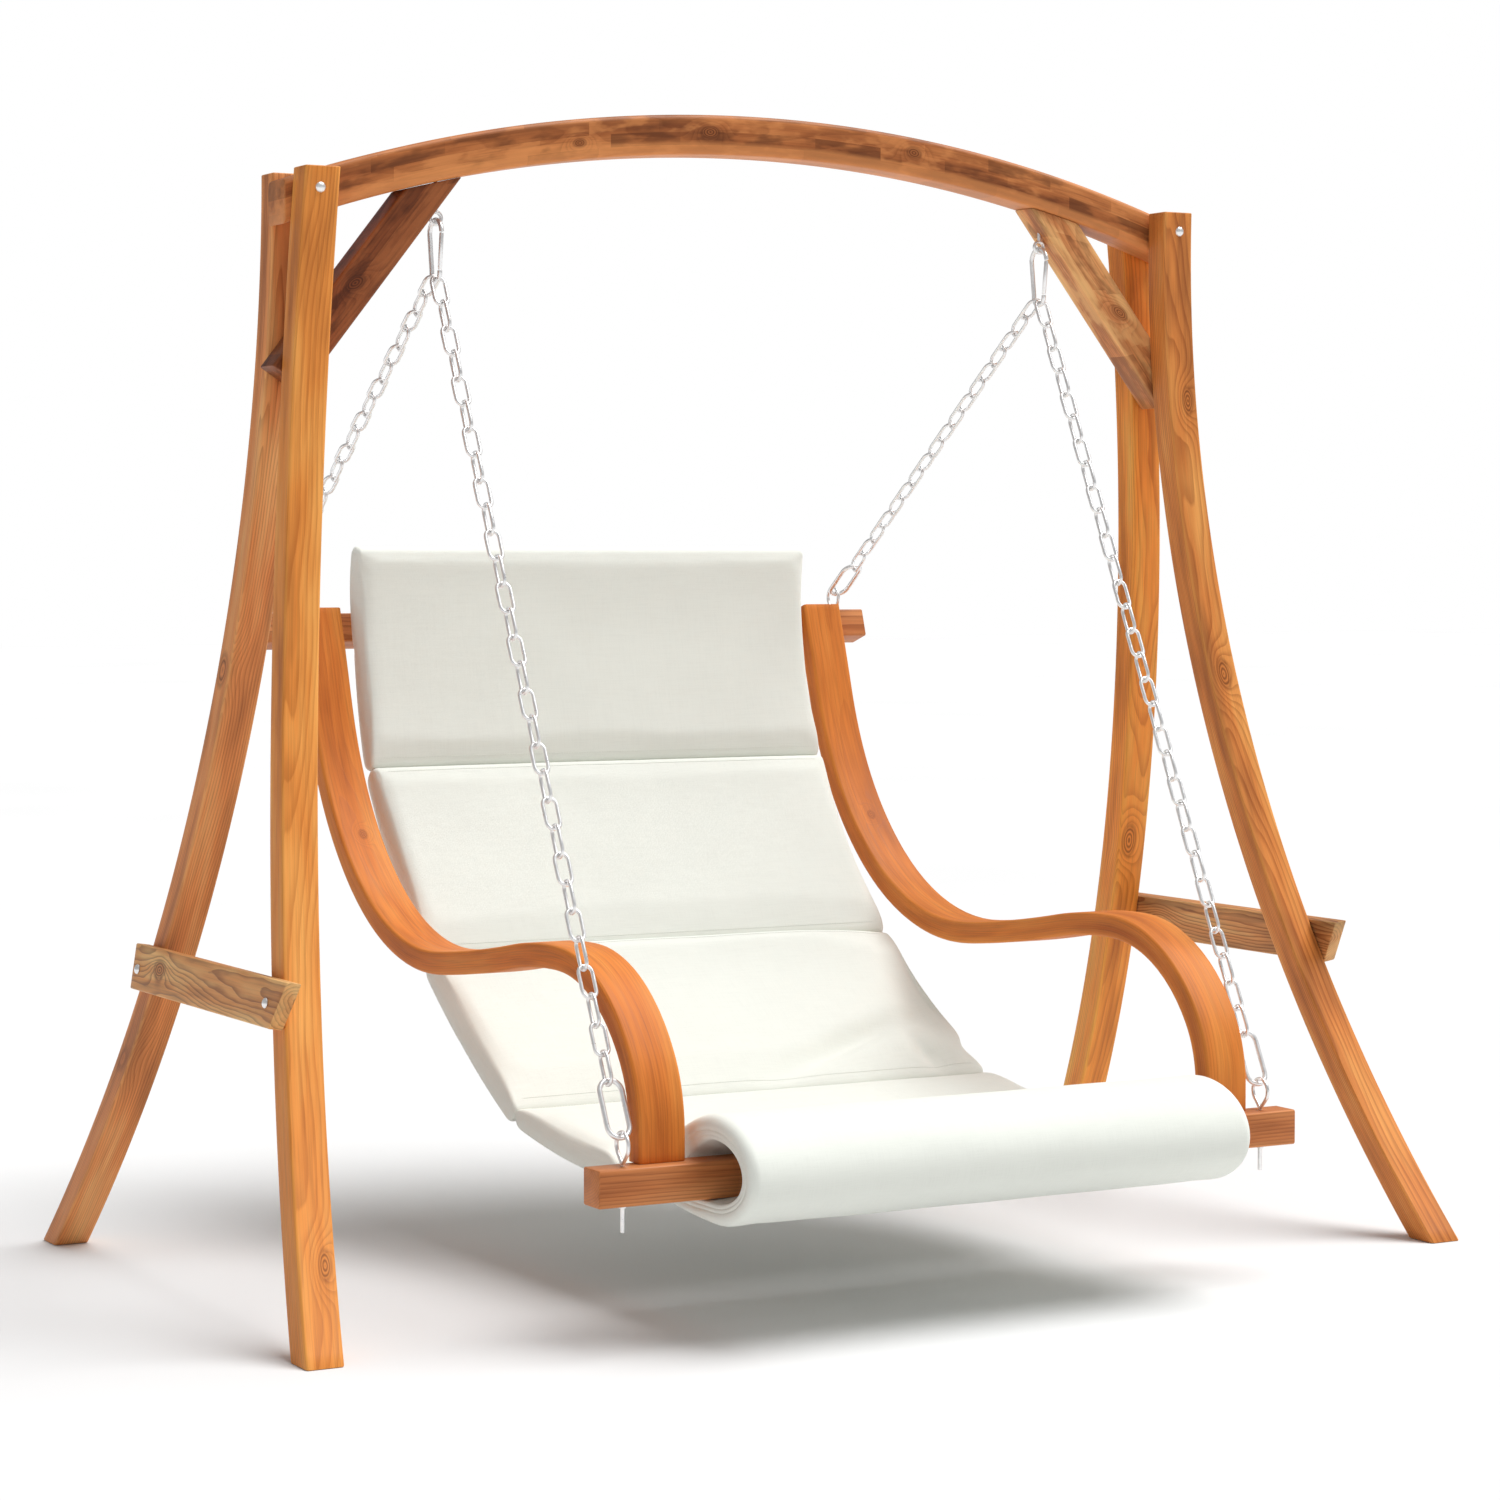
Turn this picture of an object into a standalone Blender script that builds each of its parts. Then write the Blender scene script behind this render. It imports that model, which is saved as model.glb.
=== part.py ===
"""Garden swing seat on a curved A-frame stand.

Metres, +Z up, floor at Z = 0.  The seat faces -Y.  The parts are laid out about
the middle of the stand: it is symmetric about X = 0 and Y = 0, and the seat hangs
from two eyes on the axis Y = 0.  The last lines move the whole assembly back by
STAND_Y, so that the origin is below the middle of its outline.
'left' is -X and 'right' is +X.
"""
import bpy
import bmesh
import math
import numpy as np
from mathutils import Vector

for old in list(bpy.data.objects):
    bpy.data.objects.remove(old, do_unlink=True)

GAP = 0.0003                       # between touching pieces
STAND_Y = 0.0415165                # middle of the stand behind the outline's middle

# ---- stand ------------------------------------------------------------------
LEG_HEIGHT = 1.7214
LEG_FOOT_X = 1.0250                # outer face at the floor
LEG_TOP_X = 0.8177                 # outer face at the top
LEG_SPLAY_STRAIGHT = 0.0760        # linear share of the sideways lean
LEG_WIDTH = 0.0578                 # along X
LEG_DEPTH = 0.0500                 # across the bend
LEG_BEND_R = 2.4837                # radius of the leg's outer curve
LEG_BEND_Z = 1.4865                # height of the curve's closest point
LEG_BEND_Y = 0.0806                # outer face at that height
LEG_CHAMFER = 0.004

BEAM_APEX_Z = 1.8450
BEAM_R = 2.5140
BEAM_HEIGHT = 0.0640
BEAM_HALF_Y = 0.0345
BEAM_HALF_X = 0.8287
BEAM_ROUND = 0.010

TOP_BOLT_X = 0.7926
TOP_BOLT_Z = 1.6890

BRACE_ANGLE = math.radians(51.5)   # knee brace above the horizontal
BRACE_WIDTH = 0.0615
BRACE_HALF_Y = 0.0285
BRACE_UNDER = (0.6765, 1.5375)     # X, Z of a point on its underside
BRACE_TIP_Z = 1.4217               # top corner of its lower end
BRACE_END_CUT = math.radians(33.0)

BOARD_Z = 0.4771                   # side brace board
BOARD_HEIGHT = 0.0728
BOARD_THICK = 0.0235
BOARD_REAR_Y = 0.2880
BOARD_FRONT_TOP_Y = -0.3495
BOARD_FRONT_BOTTOM_Y = -0.3034
BOARD_BOLTS = ((-0.2809, 0.4766), (0.2635, 0.4738))

# ---- hanging point -------------------------------------------------------------
HANG_X = 0.5632
HANG_Z = 1.6495                    # centre of the eye's lower wire: swing axis
EYE_MEAN_R = 0.0095
EYE_WIRE_R = 0.0030
HOOK_WIRE_R = 0.0038
HOOK_HEIGHT = 0.1045               # outer, of the carabiner
HOOK_TOP_R = 0.0230                # mean radius of its wide end
HOOK_LOW_R = 0.0150                # mean radius of its narrow end
GATE_R = 0.0034

# ---- seat --------------------------------------------------------------------
BAR_HALF_X = 0.6145
REAR_BAR_HALF_X = 0.6080
BAR_DEPTH = 0.0516
BAR_HEIGHT = 0.0550
FRONT_BAR_Y = -0.6384
FRONT_BAR_TOP = 0.2597
REAR_BAR_HEIGHT = 0.0516

ARM_IN_X = 0.4624
ARM_OUT_X = 0.5379
ARM_THICK = 0.0376
ARM_START = (0.6455, 1.0386)       # Y, Z at the middle of the upper end
ARM_HEADING = 72.4                 # degrees, 0 runs forward, 90 runs down
# length and heading at the end of each bend of the laminated arm
ARM_BENDS = ((0.170, 73.0), (0.105, 64.0), (0.247, 39.0), (0.364, -5.0),
             (0.275, -10.0), (0.159, 1.0), (0.266, 57.0), (0.112, 90.0))

SEAT_EYE_X = 0.5648
SEAT_EYE_HALF_W = 0.0190           # mean half width of the pear-shaped eye
SEAT_EYE_HEIGHT = 0.0520           # outer, above the bar
SEAT_EYE_WIRE_R = 0.0030
SHANK_LENGTH = 0.1000
NUT_AF = 0.0100

LINK_WIRE_R = 0.0029               # chain
LINK_WIDTH = 0.0283
LINK_PITCH = 0.0440
BIG_LINK_LENGTH = 0.0956
BIG_LINK_WIDTH = 0.0435
BIG_LINK_WIRE_R = 0.0040

SLING_HALF_X = 0.4445
SLEEVE_HALF_X = 0.4385             # front sleeve
LOOP_HALF_X = 0.3600               # loop round the rear bar
# seams of the sling's middle line (Y, Z) from the top edge to the front of the seat
SEAM_TOP = (0.6168, 1.1490)
SEAM_1 = (0.5518, 0.7692)
SEAM_2 = (0.3142, 0.4580)
SEAM_3 = (-0.0236, 0.2460)
SEAM_4 = (-0.3750, 0.2070)
# sag of each panel behind or below the straight line between its seams
SAG_UPPER, SAG_MIDDLE, SAG_LOWER, SAG_SEAT = 0.0225, 0.0135, 0.0165, 0.0140
PAD_UPPER, PAD_MIDDLE, PAD_LOWER, PAD_SEAT = 0.0580, 0.0590, 0.0600, 0.0480

ROLL_Y = -0.6816                   # middle of the sleeve's rounded nose
ROLL_Z = 0.2480
ROLL_A, ROLL_B = 0.1210, 0.0815    # half length and upper half height outside
ROLL_B_LOW = 0.0785                # lower half height outside
ROLL_IN_A, ROLL_IN_B = 0.0820, 0.0455
ROLL_TAIL_Y = -0.3850
ROLL_IN_TAIL_Y = -0.5200


# ---- helpers -------------------------------------------------------------------
def material(name, rgb, rough, metal=0.0):
    m = bpy.data.materials.get(name)
    if m is None:
        m = bpy.data.materials.new(name)
        m.use_nodes = True
        b = m.node_tree.nodes["Principled BSDF"]
        b.inputs["Base Color"].default_value = (*rgb, 1.0)
        b.inputs["Roughness"].default_value = rough
        b.inputs["Metallic"].default_value = metal
    m.diffuse_color = (*rgb, 1.0)
    return m


LEG_WOOD = ("leg_wood", (0.62, 0.30, 0.10), 0.45)
BEAM_WOOD = ("beam_wood", (0.32, 0.13, 0.05), 0.45)
ARM_WOOD = ("arm_wood", (0.52, 0.20, 0.06), 0.40)
BAR_WOOD = ("bar_wood", (0.46, 0.18, 0.07), 0.45)
BOARD_WOOD = ("board_wood", (0.58, 0.28, 0.12), 0.45)
ZINC = ("zinc", (0.80, 0.80, 0.80), 0.30, 1.0)
FABRIC = ("sling_fabric", (0.84, 0.85, 0.78), 0.90)


def make(name, rings, mat, closed=False, origin=(0, 0, 0), parent=None,
         smooth=None):
    """Solid through rings of equal count; ends capped, or joined if closed."""
    bm = bmesh.new()
    rows = [[bm.verts.new(tuple(float(c) for c in p)) for p in r] for r in rings]
    n = len(rows[0])
    pairs = list(zip(rows, rows[1:]))
    if closed:
        pairs.append((rows[-1], rows[0]))
    for a, b in pairs:
        for i in range(n):
            j = (i + 1) % n
            bm.faces.new((a[i], a[j], b[j], b[i]))
    if not closed:
        bm.faces.new(list(reversed(rows[0])))
        bm.faces.new(rows[-1])
    return finish(name, bm, mat, origin, parent, smooth)


def turned(name, profile, base, axis, mat, n=16, origin=(0, 0, 0), parent=None,
           smooth=35):
    """Solid of revolution; profile is (height, radius) with radius 0 at both ends."""
    base, axis = np.array(base, float), np.array(axis, float)
    axis = axis / np.linalg.norm(axis)
    u = np.cross(axis, (0.0, 0.0, 1.0) if abs(axis[2]) < 0.9 else (1.0, 0.0, 0.0))
    u = u / np.linalg.norm(u)
    v = np.cross(axis, u)
    bm = bmesh.new()
    rows = []
    for h, r in profile:
        c = base + axis * h
        if r == 0:
            rows.append([bm.verts.new(tuple(c))])
        else:
            rows.append([bm.verts.new(tuple(c + r * (math.cos(t) * u + math.sin(t) * v)))
                         for t in (2 * math.pi * i / n for i in range(n))])
    for a, b in zip(rows, rows[1:]):
        for i in range(n):
            j = (i + 1) % n
            if len(a) == 1:
                bm.faces.new((a[0], b[j], b[i]))
            elif len(b) == 1:
                bm.faces.new((a[i], a[j], b[0]))
            else:
                bm.faces.new((a[i], a[j], b[j], b[i]))
    return finish(name, bm, mat, origin, parent, smooth)


def finish(name, bm, mat, origin, parent, smooth):
    bmesh.ops.recalc_face_normals(bm, faces=bm.faces[:])
    o = Vector(origin)
    for v in bm.verts:
        v.co -= o
    me = bpy.data.meshes.new(name)
    bm.to_mesh(me)
    bm.free()
    if smooth is not None:
        me.shade_smooth()
        me.set_sharp_from_angle(angle=math.radians(smooth))
    me.materials.append(material(*mat))
    ob = bpy.data.objects.new(name, me)
    bpy.context.collection.objects.link(ob)
    ob.location = o
    if parent is not None:
        ob.parent = parent
        ob.location = o - parent.location
    return ob


def drill(ob, holes, n=16):
    """Cut round holes (start, end, radius) out of a piece."""
    for k, (a, b, r) in enumerate(holes):
        a, b = np.array(a, float), np.array(b, float)
        L = float(np.linalg.norm(b - a))
        cut = turned("%s_cutter_%d" % (ob.name, k), [(0, 0), (0, r), (L, r), (L, 0)],
                     a, b - a, ZINC, n=n, smooth=None)
        cut.hide_render = True
        cut.display_type = "WIRE"
        m = ob.modifiers.new("hole_%d" % k, "BOOLEAN")
        m.operation = "DIFFERENCE"
        m.solver = "EXACT"
        m.object = cut


def box_section(x0, x1, y0, y1, c):
    """Rectangle with chamfered corners, 8 points (first, second coordinate)."""
    return [(x0 + c, y0), (x1 - c, y0), (x1, y0 + c), (x1, y1 - c),
            (x1 - c, y1), (x0 + c, y1), (x0, y1 - c), (x0, y0 + c)]


def round_section(hx, hy, r, steps=2):
    """Rectangle with rounded corners about the origin."""
    pts = []
    for cx, cy, a0 in ((1, 1, 0), (-1, 1, 90), (-1, -1, 180), (1, -1, 270)):
        for i in range(steps + 1):
            a = math.radians(a0 + 90 * i / steps)
            pts.append((cx * (hx - r) + r * math.cos(a), cy * (hy - r) + r * math.sin(a)))
    return pts


def wire(name, path, r, mat, n=8, closed=True, side=(1, 0, 0), **kw):
    """Round wire along a plane path whose plane has the normal 'side'."""
    P = np.array(path, float)
    side = np.array(side, float)
    side = side / np.linalg.norm(side)
    N = len(P)
    rings = []
    for i in range(N):
        if closed:
            t = P[(i + 1) % N] - P[i - 1]
        else:
            t = P[min(i + 1, N - 1)] - P[max(i - 1, 0)]
        t = t / np.linalg.norm(t)
        u = np.cross(t, side)
        rings.append([P[i] + r * (math.cos(a) * u + math.sin(a) * side)
                      for a in (2 * math.pi * k / n for k in range(n))])
    return make(name, rings, mat, closed=closed, smooth=60, **kw)


def bends(start, heading, table, n=6):
    """Middle line of a bent piece in the YZ plane and its heading at each point."""
    p = [np.array(start, float)]
    a = [heading]
    h = heading
    for L, h1 in table:
        for i in range(n):
            m = math.radians(h + (h1 - h) * (i + 0.5) / n)
            p.append(p[-1] + L / n * np.array([-math.cos(m), -math.sin(m)]))
            a.append(h + (h1 - h) * (i + 1) / n)
        h = h1
    return p, a


def sag_line(p, q, sag, n):
    """Shallow arc between two seams, bulging to the rear or down."""
    p, q = np.array(p, float), np.array(q, float)
    d = q - p
    L = np.linalg.norm(d)
    nrm = np.array([-d[1], d[0]]) / L        # to the rear or down
    return [p + d * s + nrm * sag * 4 * s * (1 - s)
            for s in (i / n for i in range(n + 1))], nrm


# ---- stand -----------------------------------------------------------------------
def leg_x(z):
    u = 1.0 - z / LEG_HEIGHT
    return LEG_TOP_X + LEG_SPLAY_STRAIGHT * u + (LEG_FOOT_X - LEG_TOP_X - LEG_SPLAY_STRAIGHT) * u * u


def leg_y(z):
    return LEG_BEND_Y + LEG_BEND_R - math.sqrt(LEG_BEND_R ** 2 - (z - LEG_BEND_Z) ** 2)


def leg_slope(z):
    return (z - LEG_BEND_Z) / math.sqrt(LEG_BEND_R ** 2 - (z - LEG_BEND_Z) ** 2)


def leg_lean(z):
    u = 1.0 - z / LEG_HEIGHT
    return (LEG_SPLAY_STRAIGHT + 2 * (LEG_FOOT_X - LEG_TOP_X - LEG_SPLAY_STRAIGHT) * u) / LEG_HEIGHT


def beam_top(x):
    return BEAM_APEX_Z - BEAM_R + math.sqrt(BEAM_R ** 2 - x * x)


def beam_bottom(x):
    return BEAM_APEX_Z - BEAM_R + math.sqrt((BEAM_R - BEAM_HEIGHT) ** 2 - x * x)


legs = {}
for end, sy in (("front", -1), ("rear", 1)):
    for side, sx in (("left", -1), ("right", 1)):
        rings = []
        for i in range(15):
            z = LEG_HEIGHT * i / 14
            yo = leg_y(z)
            yi = yo - LEG_DEPTH * math.hypot(1.0, leg_slope(z))
            xo = leg_x(z)
            rings.append([(sx * x, sy * y, z) for x, y in
                          box_section(xo - LEG_WIDTH, xo, yi, yo, LEG_CHAMFER)])
        legs[end, side] = make("leg_%s_%s" % (end, side), rings, LEG_WOOD)

rings = []
for i in range(25):
    x = -BEAM_HALF_X + 2 * BEAM_HALF_X * i / 24
    zt, zb = beam_top(x), beam_bottom(x)
    rings.append([(x, y, 0.5 * (zt + zb) + z) for y, z in
                  round_section(BEAM_HALF_Y, 0.5 * (zt - zb), BEAM_ROUND)])
beam = make("top_beam", rings, BEAM_WOOD)

ca, sa = math.cos(BRACE_ANGLE), math.sin(BRACE_ANGLE)
up = np.array([-ca, sa])                       # along the brace, upwards and inwards
out = np.array([sa, ca])                       # across it, outwards and up
for side, sx in (("left", -1), ("right", 1)):
    under = np.array(BRACE_UNDER)
    over = under + out * BRACE_WIDTH
    tip = over + up * ((BRACE_TIP_Z - over[1]) / sa)
    cut = np.array([-math.cos(BRACE_END_CUT), -math.sin(BRACE_END_CUT)])
    # where the end cut meets the underside
    s = np.linalg.solve(np.array([cut, -up]).T, under - tip)
    heel = tip + cut * s[0]

    def meet(p):
        """Follow the brace from p up to the beam's underside."""
        lo, hi = 0.0, 0.6
        for _ in range(60):
            m = 0.5 * (lo + hi)
            x, z = p + up * m
            if z < beam_bottom(x) - 0.0006:
                lo = m
            else:
                hi = m
        return p + up * lo

    rings = []
    for f, g in ((0.0, 0.004), (0.07, 0.0), (0.5, 0.0), (0.93, 0.0), (1.0, 0.004)):
        lower = heel + (tip - heel) * f
        upper = meet(lower)
        hy = BRACE_HALF_Y - g
        rings.append([(sx * lower[0], -hy, lower[1]), (sx * lower[0], hy, lower[1]),
                      (sx * upper[0], hy, upper[1]), (sx * upper[0], -hy, upper[1])])
    brace = make("knee_brace_%s" % side, rings, BEAM_WOOD)
    eye_ring_z = HANG_Z + EYE_MEAN_R
    drill(brace, [((sx * HANG_X, 0, eye_ring_z - 0.01), (sx * HANG_X, 0, 1.79), 0.0036)])
    foot = 0.5 * (heel + tip) + up * 0.030
    zs = foot[1]
    y_face = leg_y(zs)
    drill(brace, [((sx * foot[0], 0.004, zs), (sx * foot[0], 0.06, zs), 0.0030)])
    drill(legs["rear", side], [((sx * foot[0], 0.01, zs), (sx * foot[0], 0.12, zs), 0.0030),
                               ((sx * foot[0], y_face - 0.0054, zs), (sx * foot[0], 0.12, zs), 0.0062)])
    turned("brace_screw_%s" % side,
           [(0, 0), (0, 0.0056), (0.0022, 0.0056), (0.0035, 0.0026),
            (0.0600, 0.0026), (0.0660, 0.0006), (0.0662, 0)],
           (sx * foot[0], y_face - 0.0012, zs), (0, -1, 0), ZINC, n=12)

    # eye screw: ring in the XZ plane with its shank up into brace and beam
    ring = [(sx * HANG_X + EYE_MEAN_R * math.cos(t), 0, eye_ring_z + EYE_MEAN_R * math.sin(t))
            for t in (2 * math.pi * i / 16 for i in range(16))]
    eye = wire("hanging_eye_%s" % side, ring, EYE_WIRE_R, ZINC, side=(0, 1, 0))
    shank = turned("hanging_eye_%s_shank_cutter" % side,
                   [(0, 0), (0, 0.0030), (0.0700, 0.0030), (0.0760, 0.0008), (0.0762, 0)],
                   (sx * HANG_X, 0, eye_ring_z + EYE_MEAN_R - 0.0015), (0, 0, 1), ZINC, n=12)
    shank.hide_render = True
    shank.display_type = "WIRE"
    m = eye.modifiers.new("shank", "BOOLEAN")
    m.operation = "UNION"
    m.solver = "EXACT"
    m.object = shank
    drill(beam, [((sx * HANG_X, 0, 1.60), (sx * HANG_X, 0, eye_ring_z + EYE_MEAN_R + 0.0765), 0.0036)])

    # through bolt with a low dome head on the front leg and a nut behind the rear leg
    yb = leg_y(TOP_BOLT_Z)
    sl = abs(leg_slope(TOP_BOLT_Z))
    seat_y = yb - 0.0015
    for end, sy in (("front", -1), ("rear", 1)):
        drill(legs[end, side], [((sx * TOP_BOLT_X, 0, TOP_BOLT_Z), (sx * TOP_BOLT_X, sy * 0.2, TOP_BOLT_Z), 0.0045),
                                ((sx * TOP_BOLT_X, sy * seat_y, TOP_BOLT_Z), (sx * TOP_BOLT_X, sy * 0.2, TOP_BOLT_Z), 0.0094)])
    drill(beam, [((sx * TOP_BOLT_X, -0.1, TOP_BOLT_Z), (sx * TOP_BOLT_X, 0.1, TOP_BOLT_Z), 0.0045)])
    L = 2 * seat_y + 0.0105
    turned("top_bolt_%s" % side,
           [(-0.0056, 0), (-0.0053, 0.0030), (-0.0042, 0.0060), (-0.0022, 0.0080), (0, 0.0086),
            (0, 0.0041), (L - 0.001, 0.0041), (L, 0.0032), (L, 0)],
           (sx * TOP_BOLT_X, -seat_y - GAP, TOP_BOLT_Z), (0, 1, 0), ZINC)
    rings = []
    for i in range(12):
        t = 2 * math.pi * i / 12
        ro = 0.0075 / math.cos((t + math.pi / 6) % (math.pi / 3) - math.pi / 6)
        rings.append([(sx * TOP_BOLT_X + r * math.cos(t), seat_y + GAP + h, TOP_BOLT_Z + r * math.sin(t))
                      for r, h in ((ro, 0.0005), (ro, 0.0068), (0.0046, 0.0068), (0.0046, 0.0005))])
    make("top_nut_%s" % side, rings, ZINC, closed=True)

    # side brace board lies against the outer faces of the two legs
    lean = leg_lean(BOARD_Z)                    # dX/dZ of the face, towards the foot
    nrm = 1.0 / math.hypot(1.0, lean)
    rings = []
    hh = 0.5 * BOARD_HEIGHT
    sec = box_section(0.0, BOARD_THICK, -hh, hh, 0.0025)
    for f in (0.0, 1.0):
        ring_pts = []
        for t, h in sec:
            x = leg_x(BOARD_Z) + 0.0012 + t * nrm - h * lean * nrm
            z = BOARD_Z + h * nrm + t * lean * nrm
            k = (h + hh) / (2 * hh)
            y = BOARD_REAR_Y if f else BOARD_FRONT_BOTTOM_Y + (BOARD_FRONT_TOP_Y - BOARD_FRONT_BOTTOM_Y) * k
            ring_pts.append((sx * x, y, z))
        rings.append(ring_pts)
    board = make("side_board_%s" % side, rings, BOARD_WOOD)
    d = np.array([-sx * nrm, 0, -lean * nrm])   # into the leg
    for k, (by, bz) in enumerate(BOARD_BOLTS):
        end = "front" if by < 0 else "rear"
        face = np.array([sx * (leg_x(bz) + 0.0012 + BOARD_THICK * nrm), by, bz + BOARD_THICK * lean * nrm])
        a, b = face - d * 0.03, face + d * 0.062
        drill(board, [(a, b, 0.0040)])
        drill(legs[end, side], [(a, b, 0.0040)])
        turned("board_bolt_%s_%s" % (end, side),
               [(-0.0050, 0), (-0.0047, 0.0030), (-0.0036, 0.0058), (-0.0018, 0.0076), (0, 0.0082),
                (0, 0.0035), (0.0560, 0.0035), (0.0610, 0.0010), (0.0612, 0)],
               face - d * 0.0006, d, ZINC)

# ---- hanging seat -----------------------------------------------------------------
swing = bpy.data.objects.new("swing_axis", None)
bpy.context.collection.objects.link(swing)
swing.location = (0, 0, HANG_Z)
S = tuple(swing.location)
ON = dict(origin=S, parent=swing)

# carabiner: pear-shaped loop in the YZ plane, hung on the eye's lower wire
hook_top = HANG_Z + EYE_WIRE_R + GAP + 2 * HOOK_WIRE_R          # outer top
zt = hook_top - HOOK_WIRE_R - HOOK_TOP_R                         # centre of wide end
zl = hook_top - HOOK_HEIGHT + HOOK_WIRE_R + HOOK_LOW_R           # centre of narrow end
hook_low = hook_top - HOOK_HEIGHT                                # outer bottom
side_tilt = math.asin((HOOK_TOP_R - HOOK_LOW_R) / (zt - zl))
gate_a = (-HOOK_LOW_R * math.cos(side_tilt), zl + HOOK_LOW_R * -math.sin(side_tilt) * -1)
gate_b = (-HOOK_TOP_R * math.cos(side_tilt), zt + HOOK_TOP_R * math.sin(side_tilt))


def hook_path():
    """From the nose above the gate, over the top, down the back and round to the pivot."""
    pts = []
    a0, a1 = math.pi - side_tilt, side_tilt
    top = [a0 + (a1 - a0) * i / 10 for i in range(11)]
    pts += [(HOOK_TOP_R * math.cos(a), zt + HOOK_TOP_R * math.sin(a)) for a in top]
    low = [side_tilt - (math.pi + 2 * side_tilt) * i / 10 for i in range(11)]
    pts += [(HOOK_LOW_R * math.cos(a), zl + HOOK_LOW_R * math.sin(a)) for a in low]
    return pts


def link_ring(c, along, width, length, r, plane, n=4):
    """Middle line of a straight-sided link."""
    c, along, plane = (np.array(v, float) for v in (c, along, plane))
    across = np.cross(plane, along)
    rad = 0.5 * width - r
    half = 0.5 * length - r - rad
    pts = []
    for s, a0 in ((1, 0.0), (-1, math.pi)):
        for i in range(n + 1):
            a = a0 + math.pi * i / n
            pts.append(c + along * s * half + rad * (math.cos(a) * across + math.sin(a) * along))
    return pts


arm_line, arm_head = bends(ARM_START, ARM_HEADING, ARM_BENDS)
foot_z = FRONT_BAR_TOP + GAP
arm_line.append(np.array([arm_line[-1][0], foot_z]))
arm_head.append(90.0)
top_dir = np.array([-math.cos(math.radians(ARM_HEADING)), -math.sin(math.radians(ARM_HEADING))])
top_nrm = np.array([-top_dir[1], top_dir[0]])          # to the rear
rear_c = np.array(ARM_START) + top_dir * 0.0245 + top_nrm * (0.5 * (ARM_THICK + BAR_DEPTH) + GAP)

# bars
sec = box_section(-0.5 * BAR_DEPTH, 0.5 * BAR_DEPTH, -BAR_HEIGHT, 0.0, 0.0035)
rings = [[(x, FRONT_BAR_Y + a, FRONT_BAR_TOP + b) for a, b in sec] for x in (-BAR_HALF_X, BAR_HALF_X)]
front_bar = make("front_bar", rings, BAR_WOOD, **ON)
hb = 0.5 * REAR_BAR_HEIGHT
sec = box_section(-0.5 * BAR_DEPTH, 0.5 * BAR_DEPTH, -hb, hb, 0.0035)
rings = [[(x, *(rear_c + top_nrm * a - top_dir * b)) for a, b in sec] for x in (-REAR_BAR_HALF_X, REAR_BAR_HALF_X)]
rear_bar = make("rear_bar", rings, BAR_WOOD, **ON)

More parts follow.
